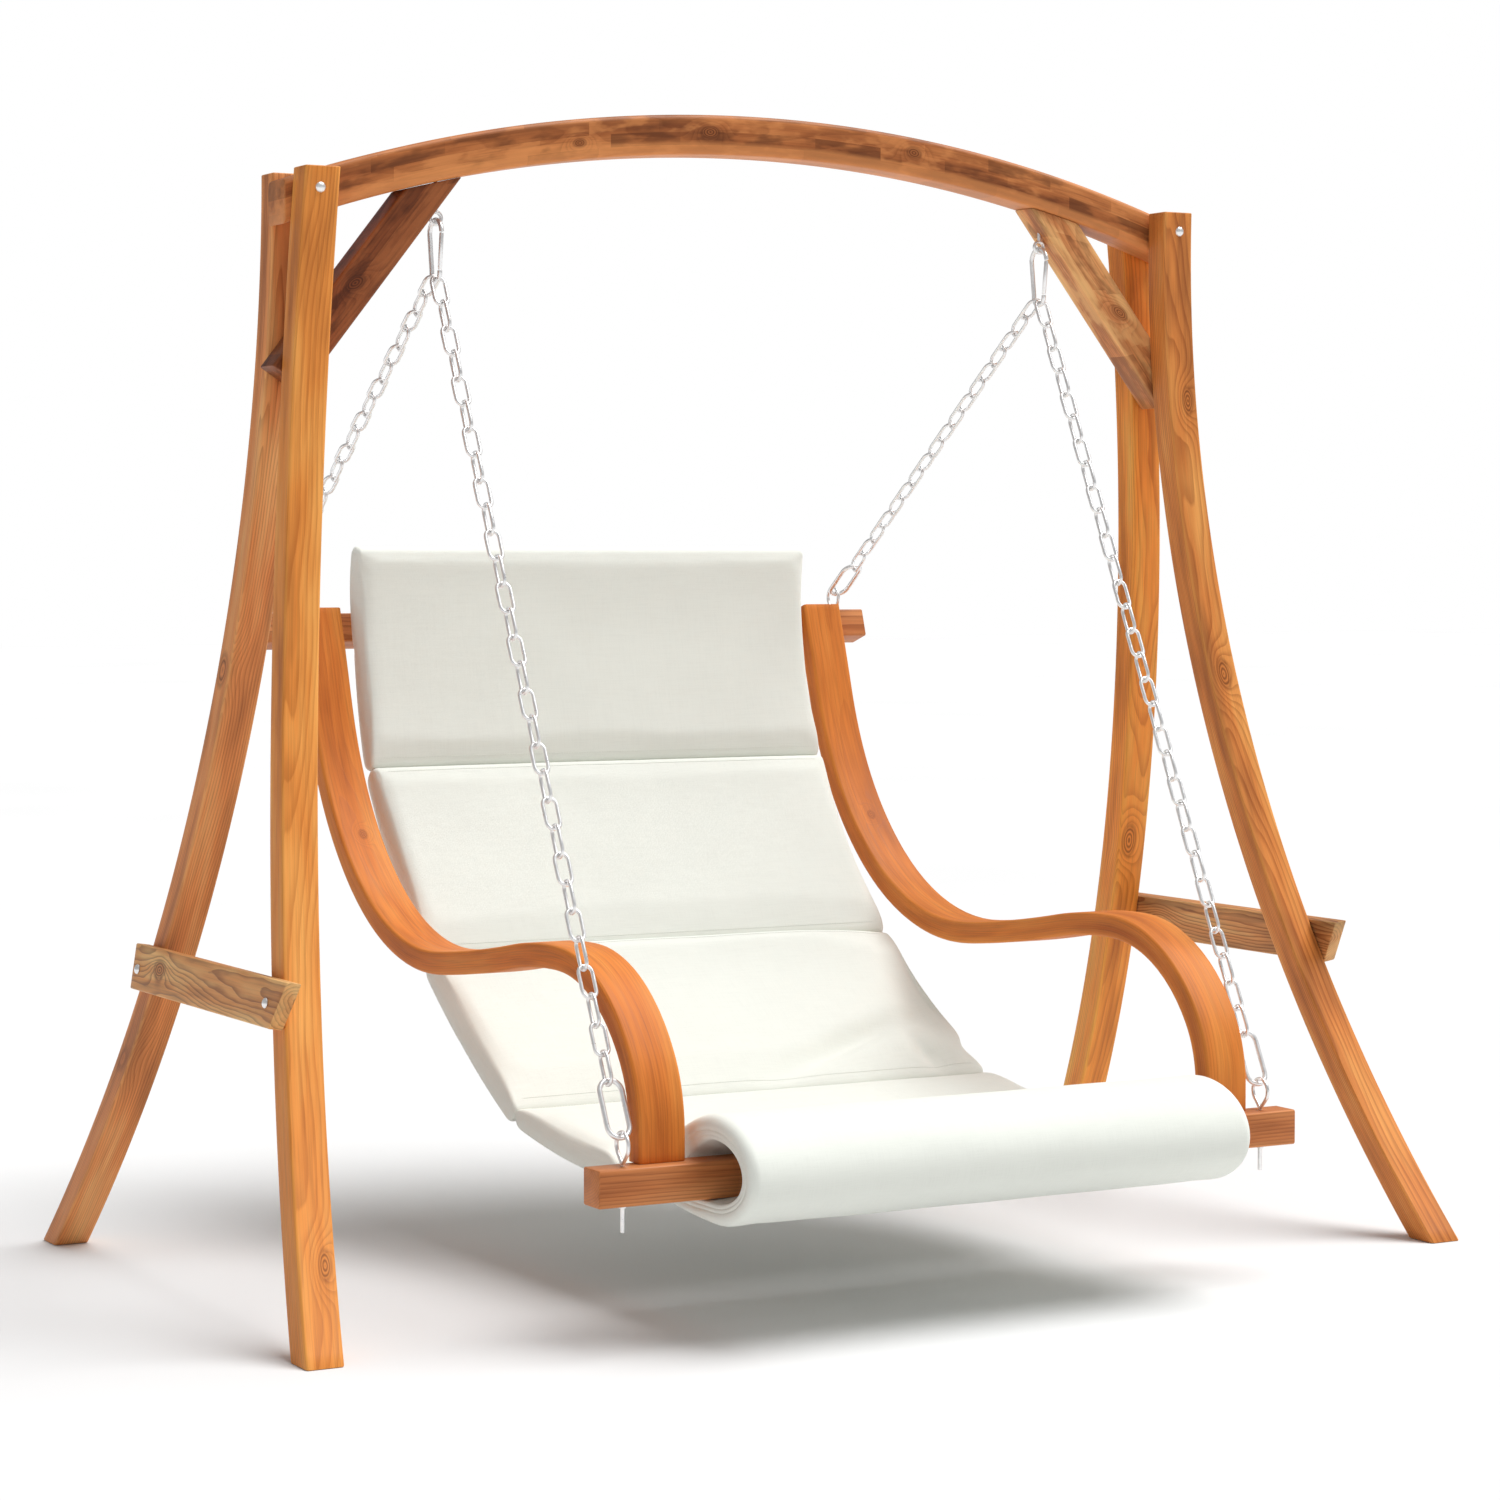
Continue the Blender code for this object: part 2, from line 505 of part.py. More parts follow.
for side, sx in (("left", -1), ("right", 1)):
    X = sx * HANG_X
    path = [(X, y, z) for y, z in hook_path()]
    wire("carabiner_%s" % side, path, HOOK_WIRE_R, ZINC, closed=False, **ON)
    ga, gb = np.array(path[-1]), np.array(path[0])
    gd = (gb - ga) / np.linalg.norm(gb - ga)
    L = float(np.linalg.norm(gb - ga))
    # the gate's origin is on its own pivot
    turned("carabiner_gate_%s" % side,
           [(0.0016, 0), (0.0016, GATE_R), (L - 0.0016, GATE_R), (L - 0.0016, 0)],
           ga, gd, ZINC, n=10, origin=tuple(ga), parent=swing)

    # arm
    rings = []
    for p, h in zip(arm_line, arm_head):
        a = math.radians(h)
        nr = np.array([math.sin(a), -math.cos(a)])      # to the rear or down
        rings.append([(sx * x, *(p + nr * t)) for x, t in
                      box_section(ARM_IN_X, ARM_OUT_X, -0.5 * ARM_THICK, 0.5 * ARM_THICK, 0.004)])
    arm = make("arm_%s" % side, rings, ARM_WOOD, **ON)
    mid = sx * 0.5 * (ARM_IN_X + ARM_OUT_X)

    # screws through the bars into the arms
    fy = arm_line[-1][0] - 0.004
    a = np.array([mid, fy, FRONT_BAR_TOP - BAR_HEIGHT])
    drill(front_bar, [(a - (0, 0, 0.02), a + (0, 0, 0.08), 0.0032),
                      (a - (0, 0, 0.02), a + (0, 0, 0.0042), 0.0066)], n=12)
    drill(arm, [(a, a + (0, 0, 0.0905), 0.0032)], n=12)
    turned("arm_screw_front_%s" % side,
           [(0.0012, 0), (0.0012, 0.0060), (0.0028, 0.0060), (0.0040, 0.0028),
            (0.0830, 0.0028), (0.0895, 0.0006), (0.0897, 0)], a, (0, 0, 1), ZINC, n=12, **ON)
    hd = np.array([0, *(-top_nrm)])
    a = np.array([mid, *(rear_c + top_nrm * 0.5 * BAR_DEPTH)])
    drill(rear_bar, [(a - hd * 0.02, a + hd * 0.08, 0.0032),
                     (a - hd * 0.02, a + hd * 0.0042, 0.0066)], n=12)
    drill(arm, [(a, a + hd * 0.0755, 0.0032)], n=12)
    turned("arm_screw_rear_%s" % side,
           [(0.0012, 0), (0.0012, 0.0060), (0.0028, 0.0060), (0.0040, 0.0028),
            (0.0680, 0.0028), (0.0745, 0.0006), (0.0747, 0)], a, hd, ZINC, n=12, **ON)

    # seat eyes, nuts, big links and chains
    low_c = np.array([X, 0.0, hook_low + HOOK_WIRE_R])
    for end, base, axis in (
            ("front", np.array([sx * SEAT_EYE_X, FRONT_BAR_Y, FRONT_BAR_TOP]), np.array([0, 0, 1.0])),
            ("rear", np.array([sx * SEAT_EYE_X, *(rear_c - top_dir * hb)]), np.array([0, *(-top_dir)]))):
        # pear-shaped eye, square to the bar
        wr, hw = SEAT_EYE_WIRE_R, SEAT_EYE_HALF_W
        centre = base + axis * (SEAT_EYE_HEIGHT - wr - hw)
        low = base + axis * (0.0030 + wr)
        xa = np.cross(axis, (1.0, 0, 0))
        pts = []
        reach = SEAT_EYE_HEIGHT - 2 * wr - hw - 0.0030
        tilt = math.asin((hw - 0.0025) / reach)
        for i in range(11):
            t = -tilt + (math.pi + 2 * tilt) * i / 10
            pts.append(centre + hw * (math.cos(t) * xa + math.sin(t) * axis))
        for i in range(5):
            t = math.pi + tilt + (math.pi - 2 * tilt) * i / 4
            pts.append(low + 0.0025 * (math.cos(t) * xa + math.sin(t) * axis))
        eye = wire("seat_eye_%s_%s" % (end, side), pts, wr, ZINC,
                   side=(1, 0, 0), **ON)
        thick = BAR_HEIGHT if end == "front" else REAR_BAR_HEIGHT
        sh = turned("seat_eye_%s_%s_shank_cutter" % (end, side),
                    [(0, 0), (0, 0.0034), (SHANK_LENGTH, 0.0034), (SHANK_LENGTH + 0.001, 0.0026), (SHANK_LENGTH + 0.001, 0)],
                    low - axis * 0.0010, -axis, ZINC, n=12)
        sh.hide_render = True
        sh.display_type = "WIRE"
        m = eye.modifiers.new("shank", "BOOLEAN")
        m.operation = "UNION"
        m.solver = "EXACT"
        m.object = sh
        bar = front_bar if end == "front" else rear_bar
        drill(bar, [(base + axis * 0.02, base - axis * 0.09, 0.0039)], n=12)
        rings = []
        for i in range(12):
            t = 2 * math.pi * i / 12
            ro = 0.5 * NUT_AF / math.cos((t + math.pi / 6) % (math.pi / 3) - math.pi / 6)
            rings.append([base - axis * (thick + h) + r * (math.cos(t) * xa + math.sin(t) * np.cross(axis, xa))
                          for r, h in ((ro, GAP), (ro, 0.0053), (0.0039, 0.0053), (0.0039, GAP))])
        make("seat_nut_%s_%s" % (end, side), rings, ZINC, closed=True, **ON)

        # the chain pulls from the eye's ring towards the carabiner's lower end
        top_pt = low_c + np.array([0, 0, HOOK_WIRE_R + LINK_WIRE_R + GAP])
        d = top_pt - centre
        d = d / np.linalg.norm(d)
        start = centre + d * (hw - wr - BIG_LINK_WIRE_R - GAP - 0.0002)
        pull = top_pt - start
        pull = pull / np.linalg.norm(pull)
        plane = np.cross((1.0, 0, 0), pull)
        plane = plane / np.linalg.norm(plane)
        lc = start + pull * (0.5 * BIG_LINK_LENGTH - BIG_LINK_WIRE_R)
        ring_pts = link_ring(lc, pull, BIG_LINK_WIDTH, BIG_LINK_LENGTH, BIG_LINK_WIRE_R, plane)
        wire("end_link_%s_%s" % (end, side), ring_pts, BIG_LINK_WIRE_R, ZINC, side=tuple(plane), **ON)

        # one solid stands for the row of links: flat lozenges turned by 90 degrees
        c0 = lc + pull * (0.5 * BIG_LINK_LENGTH + 0.0012)
        c1 = low_c + (start - low_c) / np.linalg.norm(start - low_c) * 0.0125
        run = c1 - c0
        count = int(round(np.linalg.norm(run) / LINK_PITCH))
        e = run / np.linalg.norm(run)
        pa = np.array([1.0, 0, 0]) - e * e[0]
        pa = pa / np.linalg.norm(pa)
        pb = np.cross(e, pa)
        rings = []

        def ring_at(f, wa, wb):
            c = c0 + run * f
            return [c + pa * wa * p + pb * wb * q for p, q in
                    ((1, 0.35), (0.35, 1), (-0.35, 1), (-1, 0.35), (-1, -0.35), (-0.35, -1), (0.35, -1), (1, -0.35))]
        rings.append(ring_at(0.0, 0.0040, 0.0040))
        for k in range(count):
            wide = (0.5 * LINK_WIDTH, LINK_WIRE_R + 0.0006)
            wa, wb = wide if k % 2 else wide[::-1]
            rings.append(ring_at((k + 0.5) / count, wa, wb))
            rings.append(ring_at((k + 1.0) / count, 0.0040, 0.0040))
        make("chain_%s_%s" % (end, side), rings, ZINC, **ON)


# ---- sling ---------------------------------------------------------------------
def pad(name, p, q, sag, thick, n=10):
    """Soft panel between two seams, thick in the middle and thin at its edges."""
    line, nrm = sag_line(p, q, sag, n)
    L = float(np.linalg.norm(np.array(q) - np.array(p)))
    rings = []
    for xf, tf in ((-1.0, 0.55), (-0.985, 1.0), (0.985, 1.0), (1.0, 0.55)):
        front, back = [], []
        for i, c in enumerate(line):
            s = i / n
            e = min(s, 1 - s) * L
            if i in (0, n):
                t = 0.0045
                c = c + (np.array(q) - np.array(p)) / L * (0.0015 if i == 0 else -0.0015)
            else:
                t = 0.5 * thick * min(1.0, (e / 0.035) ** 0.4) * tf
            front.append((xf * SLING_HALF_X, *(c - nrm * t)))
            back.append((xf * SLING_HALF_X, *(c + nrm * t)))
        rings.append(front + back[::-1])
    return make(name, rings, FABRIC, smooth=40, **ON)


pad("sling_back_upper", SEAM_TOP, SEAM_1, SAG_UPPER, PAD_UPPER)
pad("sling_back_middle", SEAM_1, SEAM_2, SAG_MIDDLE, PAD_MIDDLE)
pad("sling_back_lower", SEAM_2, SEAM_3, SAG_LOWER, PAD_LOWER)
pad("sling_seat", SEAM_3, SEAM_4, SAG_SEAT, PAD_SEAT)


def sleeve(name, nose, a, b, b_low, a_in, b_in, tail, tail_in, n=8, half=SLEEVE_HALF_X):
    """Loop of padded fabric: half-ellipse nose, eased back to a thin tail.
    tail and tail_in are (distance behind the nose's middle, upper Z, lower Z offsets)."""
    def loop(a, b, bl, tail):
        T, zu, zl_ = tail
        pts = [(T * (1 - i / n), zu + (b - zu) * (1 - math.cos(math.pi * i / n)) / 2) for i in range(n)]
        pts += [(-a * math.sin(math.pi * i / (2 * n)), (b if i < n else bl) * math.cos(math.pi * i / (2 * n)))
                for i in range(2 * n)]
        pts += [(T * i / n, -bl + (zl_ + bl) * (1 - math.cos(math.pi * i / n)) / 2) for i in range(n + 1)]
        return [(nose[0] + y, nose[1] + z) for y, z in pts]
    outer, inner = loop(a, b, b_low, tail), loop(a_in, b_in, b_in, tail_in)
    rings = []
    for po, pi_ in zip(outer, inner):
        mo = np.array(po) * 0.85 + np.array(pi_) * 0.15
        rings.append([(-half, *mo), (-half * 0.985, *po), (half * 0.985, *po), (half, *mo), (half, *pi_), (-half, *pi_)])
    return make(name, rings, FABRIC, closed=True, smooth=40, **ON)


tail_z = SEAM_4[1] - ROLL_Z
sleeve("sling_front_sleeve", (ROLL_Y, ROLL_Z), ROLL_A, ROLL_B, ROLL_B_LOW, ROLL_IN_A, ROLL_IN_B,
       (ROLL_TAIL_Y - ROLL_Y, tail_z + 0.012, tail_z - 0.012),
       (ROLL_IN_TAIL_Y - ROLL_Y, tail_z + 0.006, tail_z - 0.004))

# tunnel of plain fabric round the rear bar, drawn to the back of the upper panel
wall, room = 0.004, 0.0012
hd_, hh_ = 0.5 * BAR_DEPTH + room, hb + room
corner = 0.004
line, nrm = sag_line(SEAM_TOP, SEAM_1, SAG_UPPER, 10)
att = line[4] + nrm * (0.5 * PAD_UPPER + 0.0010)
att_h = float(np.dot(att - rear_c, -top_dir))
outline_in, outline_out = [], []
for cx, cz, a0 in ((1, -1, 270), (1, 1, 0), (-1, 1, 90), (-1, -1, 180)):
    if a0 == 180:
        for h in (att_h + 0.005, att_h - 0.005):
            outline_out.append(att - top_dir * (h - att_h))
            outline_in.append(rear_c - top_nrm * hd_ - top_dir * h)
    for i in range(4):
        t = math.radians(a0 + 30 * i)
        for lst, r in ((outline_in, corner), (outline_out, corner + wall)):
            lst.append(rear_c + top_nrm * (cx * (hd_ - corner) + r * math.cos(t))
                       - top_dir * (cz * (hh_ - corner) + r * math.sin(t)))
rings = []
for po, pi_ in zip(outline_out, outline_in):
    rings.append([(-LOOP_HALF_X, *po), (LOOP_HALF_X, *po), (LOOP_HALF_X, *pi_), (-LOOP_HALF_X, *pi_)])
make("sling_rear_loop", rings, FABRIC, closed=True, smooth=40, **ON)

# ---- place on the origin -----------------------------------------------------------
for ob in bpy.data.objects:
    if ob.parent is None:
        ob.location.y += STAND_Y
bpy.context.view_layer.update()
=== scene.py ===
"""Looks of the garden swing seat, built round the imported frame."""
import bpy
import bmesh
import math
import numpy as np
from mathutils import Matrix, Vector, noise
from mathutils.bvhtree import BVHTree


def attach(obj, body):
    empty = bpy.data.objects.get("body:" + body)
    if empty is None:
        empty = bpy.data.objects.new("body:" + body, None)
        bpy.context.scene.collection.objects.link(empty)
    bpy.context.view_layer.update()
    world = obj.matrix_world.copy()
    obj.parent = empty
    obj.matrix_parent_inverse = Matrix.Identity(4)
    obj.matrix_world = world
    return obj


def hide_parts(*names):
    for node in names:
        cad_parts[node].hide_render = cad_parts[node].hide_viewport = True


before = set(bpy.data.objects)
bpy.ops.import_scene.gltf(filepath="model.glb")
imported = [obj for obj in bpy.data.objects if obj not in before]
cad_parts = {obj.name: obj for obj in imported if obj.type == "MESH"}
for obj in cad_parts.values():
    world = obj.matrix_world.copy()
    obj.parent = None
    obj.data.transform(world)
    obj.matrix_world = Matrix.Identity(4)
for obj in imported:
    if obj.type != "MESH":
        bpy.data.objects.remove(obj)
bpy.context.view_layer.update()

scene = bpy.context.scene
STAND_Y = 0.0415165          # the pieces are laid out about the middle of the stand

# ---- camera ------------------------------------------------------------------
cam = bpy.data.cameras.new("camera")
cam.lens, cam.sensor_width = 89.45, 36.0
cam_ob = bpy.data.objects.new("camera", cam)
scene.collection.objects.link(cam_ob)
cam_ob.location = (-2.9761, -5.3574 + STAND_Y, 1.1282)
cam_ob.rotation_euler = (math.radians(87.06), 0.0, math.radians(-29.04))
scene.camera = cam_ob

# ---- sizes repeated from the part ----------------------------------------------
GAP = 0.0003
LEG_HEIGHT, LEG_FOOT_X, LEG_TOP_X, LEG_SPLAY_STRAIGHT = 1.7214, 1.0250, 0.8177, 0.0760
LEG_WIDTH, LEG_DEPTH = 0.0578, 0.0500
LEG_BEND_R, LEG_BEND_Z, LEG_BEND_Y = 2.4837, 1.4865, 0.0806
BEAM_APEX_Z, BEAM_R, BEAM_HEIGHT = 1.8450, 2.5140, 0.0640
BEAM_HALF_Y, BEAM_HALF_X, BEAM_ROUND = 0.0345, 0.8287, 0.010
TOP_BOLT_X, TOP_BOLT_Z = 0.7926, 1.6890
BRACE_ANGLE, BRACE_WIDTH, BRACE_HALF_Y = math.radians(51.5), 0.0615, 0.0285
BRACE_UNDER, BRACE_TIP_Z, BRACE_END_CUT = (0.6765, 1.5375), 1.4217, math.radians(33.0)
BOARD_Z, BOARD_HEIGHT, BOARD_THICK = 0.4771, 0.0728, 0.0235
BOARD_REAR_Y, BOARD_FRONT_TOP_Y, BOARD_FRONT_BOTTOM_Y = 0.2880, -0.3495, -0.3034
BOARD_BOLTS = ((-0.2809, 0.4766), (0.2635, 0.4738))
HANG_X, HANG_Z = 0.5632, 1.6495
EYE_MEAN_R, EYE_WIRE_R = 0.0095, 0.0030
HOOK_WIRE_R, HOOK_HEIGHT, HOOK_TOP_R, HOOK_LOW_R, GATE_R = 0.0038, 0.1045, 0.0230, 0.0150, 0.0034
BAR_HALF_X, REAR_BAR_HALF_X, BAR_DEPTH, BAR_HEIGHT = 0.6145, 0.6080, 0.0516, 0.0550
FRONT_BAR_Y, FRONT_BAR_TOP, REAR_BAR_HEIGHT = -0.6384, 0.2597, 0.0516
ARM_IN_X, ARM_OUT_X, ARM_THICK = 0.4624, 0.5379, 0.0376
ARM_START, ARM_HEADING = (0.6455, 1.0386), 72.4
ARM_BENDS = ((0.170, 73.0), (0.105, 64.0), (0.247, 39.0), (0.364, -5.0),
             (0.275, -10.0), (0.159, 1.0), (0.266, 57.0), (0.112, 90.0))
SEAT_EYE_X, SEAT_EYE_HALF_W, SEAT_EYE_HEIGHT, SEAT_EYE_WIRE_R = 0.5648, 0.0190, 0.0520, 0.0030
SHANK_LENGTH, NUT_AF = 0.1000, 0.0100
LINK_WIRE_R, LINK_WIDTH, LINK_PITCH = 0.0029, 0.0283, 0.0440
BIG_LINK_LENGTH, BIG_LINK_WIDTH, BIG_LINK_WIRE_R = 0.0956, 0.0435, 0.0040
SLING_HALF_X, LOOP_HALF_X = 0.4445, 0.3600
SLEEVE_LEFT_X, SLEEVE_RIGHT_X = 0.4428, 0.4310
SEAM_TOP, SEAM_1, SEAM_2 = (0.6168, 1.1490), (0.5502, 0.7644), (0.3142, 0.4580)
SEAM_3, SEAM_4 = (-0.0236, 0.2460), (-0.3750, 0.2095)
SAG_UPPER, SAG_MIDDLE, SAG_LOWER, SAG_SEAT = 0.0225, 0.0135, 0.0142, 0.0105
PAD_UPPER, PAD_MIDDLE, PAD_LOWER, PAD_SEAT = 0.0580, 0.0590, 0.0600, 0.0480
ROLL_Y, ROLL_Z, ROLL_A, ROLL_B, ROLL_B_LOW = -0.6816, 0.2480, 0.1210, 0.0815, 0.0785
ROLL_IN_A, ROLL_IN_B, ROLL_TAIL_Y, ROLL_IN_TAIL_Y = 0.0820, 0.0455, -0.3850, -0.5200


# ---- node building ---------------------------------------------------------------
class Nodes:
    """Short names for building one material's node tree."""

    def __init__(self, name):
        self.mat = bpy.data.materials.new(name)
        self.mat.use_nodes = True
        self.t = self.mat.node_tree
        self.bsdf = self.t.nodes["Principled BSDF"]

    def link(self, value, socket):
        if isinstance(value, bpy.types.NodeSocket):
            self.t.links.new(value, socket)
        elif isinstance(value, (tuple, list)) and len(value) == 3 and socket.type == "RGBA":
            socket.default_value = (*value, 1.0)
        else:
            socket.default_value = value

    def m(self, op, a, b=None, c=None, clamp=False):
        n = self.t.nodes.new("ShaderNodeMath")
        n.operation = op
        n.use_clamp = clamp
        for v, s in zip((a, b, c), n.inputs):
            if v is not None:
                self.link(v, s)
        return n.outputs[0]

    def attr(self, name):
        n = self.t.nodes.new("ShaderNodeAttribute")
        n.attribute_name = name
        return n

    def xyz(self, v):
        n = self.t.nodes.new("ShaderNodeSeparateXYZ")
        self.link(v, n.inputs[0])
        return n.outputs[0], n.outputs[1], n.outputs[2]

    def vec(self, x, y, z):
        n = self.t.nodes.new("ShaderNodeCombineXYZ")
        for v, s in zip((x, y, z), n.inputs):
            self.link(v, s)
        return n.outputs[0]

    def scaled(self, v, by, move=(0, 0, 0)):
        n = self.t.nodes.new("ShaderNodeVectorMath")
        n.operation = "MULTIPLY_ADD"
        self.link(v, n.inputs[0])
        n.inputs[1].default_value = by
        n.inputs[2].default_value = move
        return n.outputs[0]

    def noise(self, v, scale=1.0, detail=2.0, rough=0.5):
        n = self.t.nodes.new("ShaderNodeTexNoise")
        self.link(v, n.inputs["Vector"])
        n.inputs["Scale"].default_value = scale
        n.inputs["Detail"].default_value = detail
        n.inputs["Roughness"].default_value = rough
        return n.outputs[0]

    def white(self, v):
        n = self.t.nodes.new("ShaderNodeTexWhiteNoise")
        n.noise_dimensions = "3D"
        self.link(v, n.inputs["Vector"])
        return n.outputs[0]

    def ramp(self, f, stops):
        n = self.t.nodes.new("ShaderNodeValToRGB")
        self.link(f, n.inputs[0])
        e = n.color_ramp.elements
        while len(e) < len(stops):
            e.new(0.5)
        for el, (p, col) in zip(e, stops):
            el.position = p
            el.color = (*col, 1.0) if isinstance(col, (tuple, list)) else (col, col, col, 1.0)
        return n.outputs[0]

    def step(self, v, a, b, lo=0.0, hi=1.0):
        """Smooth step of v from a to b."""
        n = self.t.nodes.new("ShaderNodeMapRange")
        n.interpolation_type = "SMOOTHSTEP"
        self.link(v, n.inputs[0])
        for k, x in zip((1, 2, 3, 4), (a, b, lo, hi)):
            n.inputs[k].default_value = x
        return n.outputs[0]

    def mix(self, f, a, b, kind="MIX"):
        n = self.t.nodes.new("ShaderNodeMix")
        n.data_type = "RGBA"
        n.blend_type = kind
        n.clamp_factor = True
        self.link(f, n.inputs[0])
        self.link(a, n.inputs[6])
        self.link(b, n.inputs[7])
        return n.outputs[2]

    def bump(self, h, distance, strength=1.0, normal=None):
        n = self.t.nodes.new("ShaderNodeBump")
        n.inputs["Strength"].default_value = strength
        n.inputs["Distance"].default_value = distance
        self.link(h, n.inputs["Height"])
        if normal is not None:
            self.link(normal, n.inputs["Normal"])
        return n.outputs[0]


def srgb(r, g, b):
    """Linear colour from 0 to 255 display values."""
    return tuple(c / 12.92 if c <= 0.04045 else ((c + 0.055) / 1.055) ** 2.4
                 for c in (r / 255, g / 255, b / 255))


def wood(name, dark, mid, light, seed, spacing=0.0045, pith=(0.03, 0.07), tilt=(0.0, 0.0),
         warp=0.02, contrast=0.6, knots=(), lam=0.0, patches=0.0, low_light=0.0, fibre=0.5,
         rough=0.42, figure=0.0):
    """Sawn softwood in the piece's own grain coordinates: width, depth and length."""
    g = Nodes(name)
    grain = g.attr("grain").outputs["Vector"]
    w, d, s = g.xyz(grain)
    off = (seed * 1.37, seed * 2.11, seed * 3.73)

    slow = g.noise(g.scaled(grain, (7, 7, 1.5), off), detail=2)
    slow2 = g.noise(g.scaled(grain, (7, 7, 1.5), tuple(o + 31.7 for o in off)), detail=2)
    fine = g.noise(g.scaled(grain, (26, 26, 5.5), off), detail=3)
    x = g.m("SUBTRACT", w, g.m("ADD", g.m("MULTIPLY_ADD", s, tilt[0], pith[0]),
                               g.m("MULTIPLY", g.m("SUBTRACT", slow, 0.5), warp * 2.2)))
    y = g.m("SUBTRACT", d, g.m("ADD", g.m("MULTIPLY_ADD", s, tilt[1], pith[1]),
                               g.m("MULTIPLY", g.m("SUBTRACT", slow2, 0.5), warp * 2.2)))
    r = g.m("SQRT", g.m("ADD", g.m("MULTIPLY", x, x), g.m("MULTIPLY", y, y)))
    r = g.m("MULTIPLY_ADD", g.m("SUBTRACT", fine, 0.5), 0.004 + 0.02 * figure, r)

    cores = None
    for ks, kw, kd, rad, length in knots:
        dw = g.m("DIVIDE", g.m("SUBTRACT", w, kw), rad)
        dd = g.m("DIVIDE", g.m("SUBTRACT", d, kd), rad * 1.6)
        ds = g.m("DIVIDE", g.m("SUBTRACT", s, ks), length)
        q = g.m("ADD", g.m("ADD", g.m("MULTIPLY", dw, dw), g.m("MULTIPLY", dd, dd)),
                g.m("MULTIPLY", ds, ds))
        push = g.m("EXPONENT", g.m("MULTIPLY", q, -0.22))
        r = g.m("MULTIPLY_ADD", push, 0.022, r)
        dist = g.m("MULTIPLY_ADD", g.m("SUBTRACT", fine, 0.5), 0.9, g.m("SQRT", q))
        core = (dist, g.step(dist, 1.05, 0.80))
        cores = [core] if cores is None else cores + [core]

    ring = g.m("FRACT", g.m("DIVIDE", r, spacing))
    late = g.ramp(ring, [(0.0, 0.10), (0.45, 0.22), (0.80, 0.85), (0.93, 1.0), (1.0, 0.10)])
    broad = g.noise(g.scaled(grain, (18, 18, 2.4), tuple(o + 9.1 for o in off)), detail=3, rough=0.6)
    base = g.ramp(broad, [(0.30, dark), (0.50, mid), (0.72, light)])
    col = g.mix(g.m("MULTIPLY", late, contrast), base,
                g.mix(0.72, base, tuple(c * 0.80 for c in dark)))
    col = g.mix(g.m("MULTIPLY", g.m("SUBTRACT", 1.0, late), 0.45 * contrast), col,
                g.mix(0.5, base, light))
    thread = g.noise(g.scaled(grain, (420, 420, 9), off), detail=2)
    col = g.mix(fibre, col, g.ramp(thread, [(0.30, 0.70), (0.50, 1.0), (0.72, 1.12)]), "MULTIPLY")

    if patches:
        # stained blocks of a glued-up member
        row = g.m("FLOOR", g.m("DIVIDE", g.m("ADD", w, 0.5), 0.021))
        jog = g.white(g.vec(row, seed, 3.0))
        cell = g.m("FLOOR", g.m("ADD", g.m("DIVIDE", s, 0.125), g.m("MULTIPLY", jog, 7.0)))
        tone = g.white(g.vec(row, cell, seed * 1.7))
        cloud = g.noise(g.scaled(grain, (38, 30, 13), tuple(o + 5.3 for o in off)), detail=3, rough=0.6)
        f = g.m("MULTIPLY_ADD", g.m("SUBTRACT", tone, 0.5), 0.30, cloud)
        col = g.mix(g.step(f, 0.47, 0.68, 0.0, patches), col,
                    g.mix(0.80, col, tuple(c * 0.55 for c in dark)))
        col = g.mix(g.step(f, 0.44, 0.28, 0.0, patches * 0.65), col, light)
    if low_light:
        edge_low = g.m("MULTIPLY_ADD", g.m("SUBTRACT", fine, 0.5), 0.014, w)
        col = g.mix(g.step(edge_low, -0.010, -0.020, 0.0, low_light), col, light)
    if lam:
        k = g.m("DIVIDE", g.m("ADD", d, 0.5), lam)
        line = g.m("ABSOLUTE", g.m("SUBTRACT", g.m("FRACT", k), 0.5))
        tone = g.white(g.vec(g.m("FLOOR", g.m("ADD", k, 0.0)), seed, 1.0))
        col = g.mix(g.step(tone, 0.0, 1.0, 0.0, 0.30), col, g.mix(0.5, col, light))
        col = g.mix(g.step(line, 0.485, 0.5, 0.0, 0.55), col, tuple(c * 0.5 for c in dark))
    if cores:
        for dist, mask in cores:
            inner = g.ramp(g.m("FRACT", g.m("MULTIPLY", dist, 2.6)),
                           [(0.0, tuple(c * 0.42 for c in dark)), (0.5, tuple(c * 0.95 for c in mid)),
                            (1.0, tuple(c * 0.50 for c in dark))])
            col = g.mix(g.m("MULTIPLY", mask, 0.85), col, inner)
            halo = g.m("MULTIPLY", g.step(dist, 0.85, 1.05), g.step(dist, 1.5, 1.05))
            col = g.mix(g.m("MULTIPLY", halo, 0.45), col, tuple(c * 0.6 for c in dark))

    # painted highlight: the eased edges and end arrises are painted lighter, broken up by noise
    edge = g.attr("edge").outputs["Fac"]
    eased_edge_highlight = g.m("MULTIPLY", edge, g.step(fine, 0.35, 0.62, 0.10, 0.42))
    col = g.mix(eased_edge_highlight, col, light)
    g.link(col, g.bsdf.inputs["Base Color"])
    g.link(g.m("MULTIPLY_ADD", g.m("ADD", g.m("MULTIPLY", late, -0.5), thread), 0.16, rough),
           g.bsdf.inputs["Roughness"])
    g.bsdf.inputs["Specular IOR Level"].default_value = 0.22
    g.bsdf.inputs["Coat Weight"].default_value = 0.02
    g.bsdf.inputs["Coat Roughness"].default_value = 0.30
    h = g.m("MULTIPLY_ADD", late, 0.6, g.m("MULTIPLY", thread, 0.5))
    g.link(g.bump(h, 0.0004, 0.6), g.bsdf.inputs["Normal"])
    g.mat.diffuse_color = (*mid, 1.0)
    return g.mat


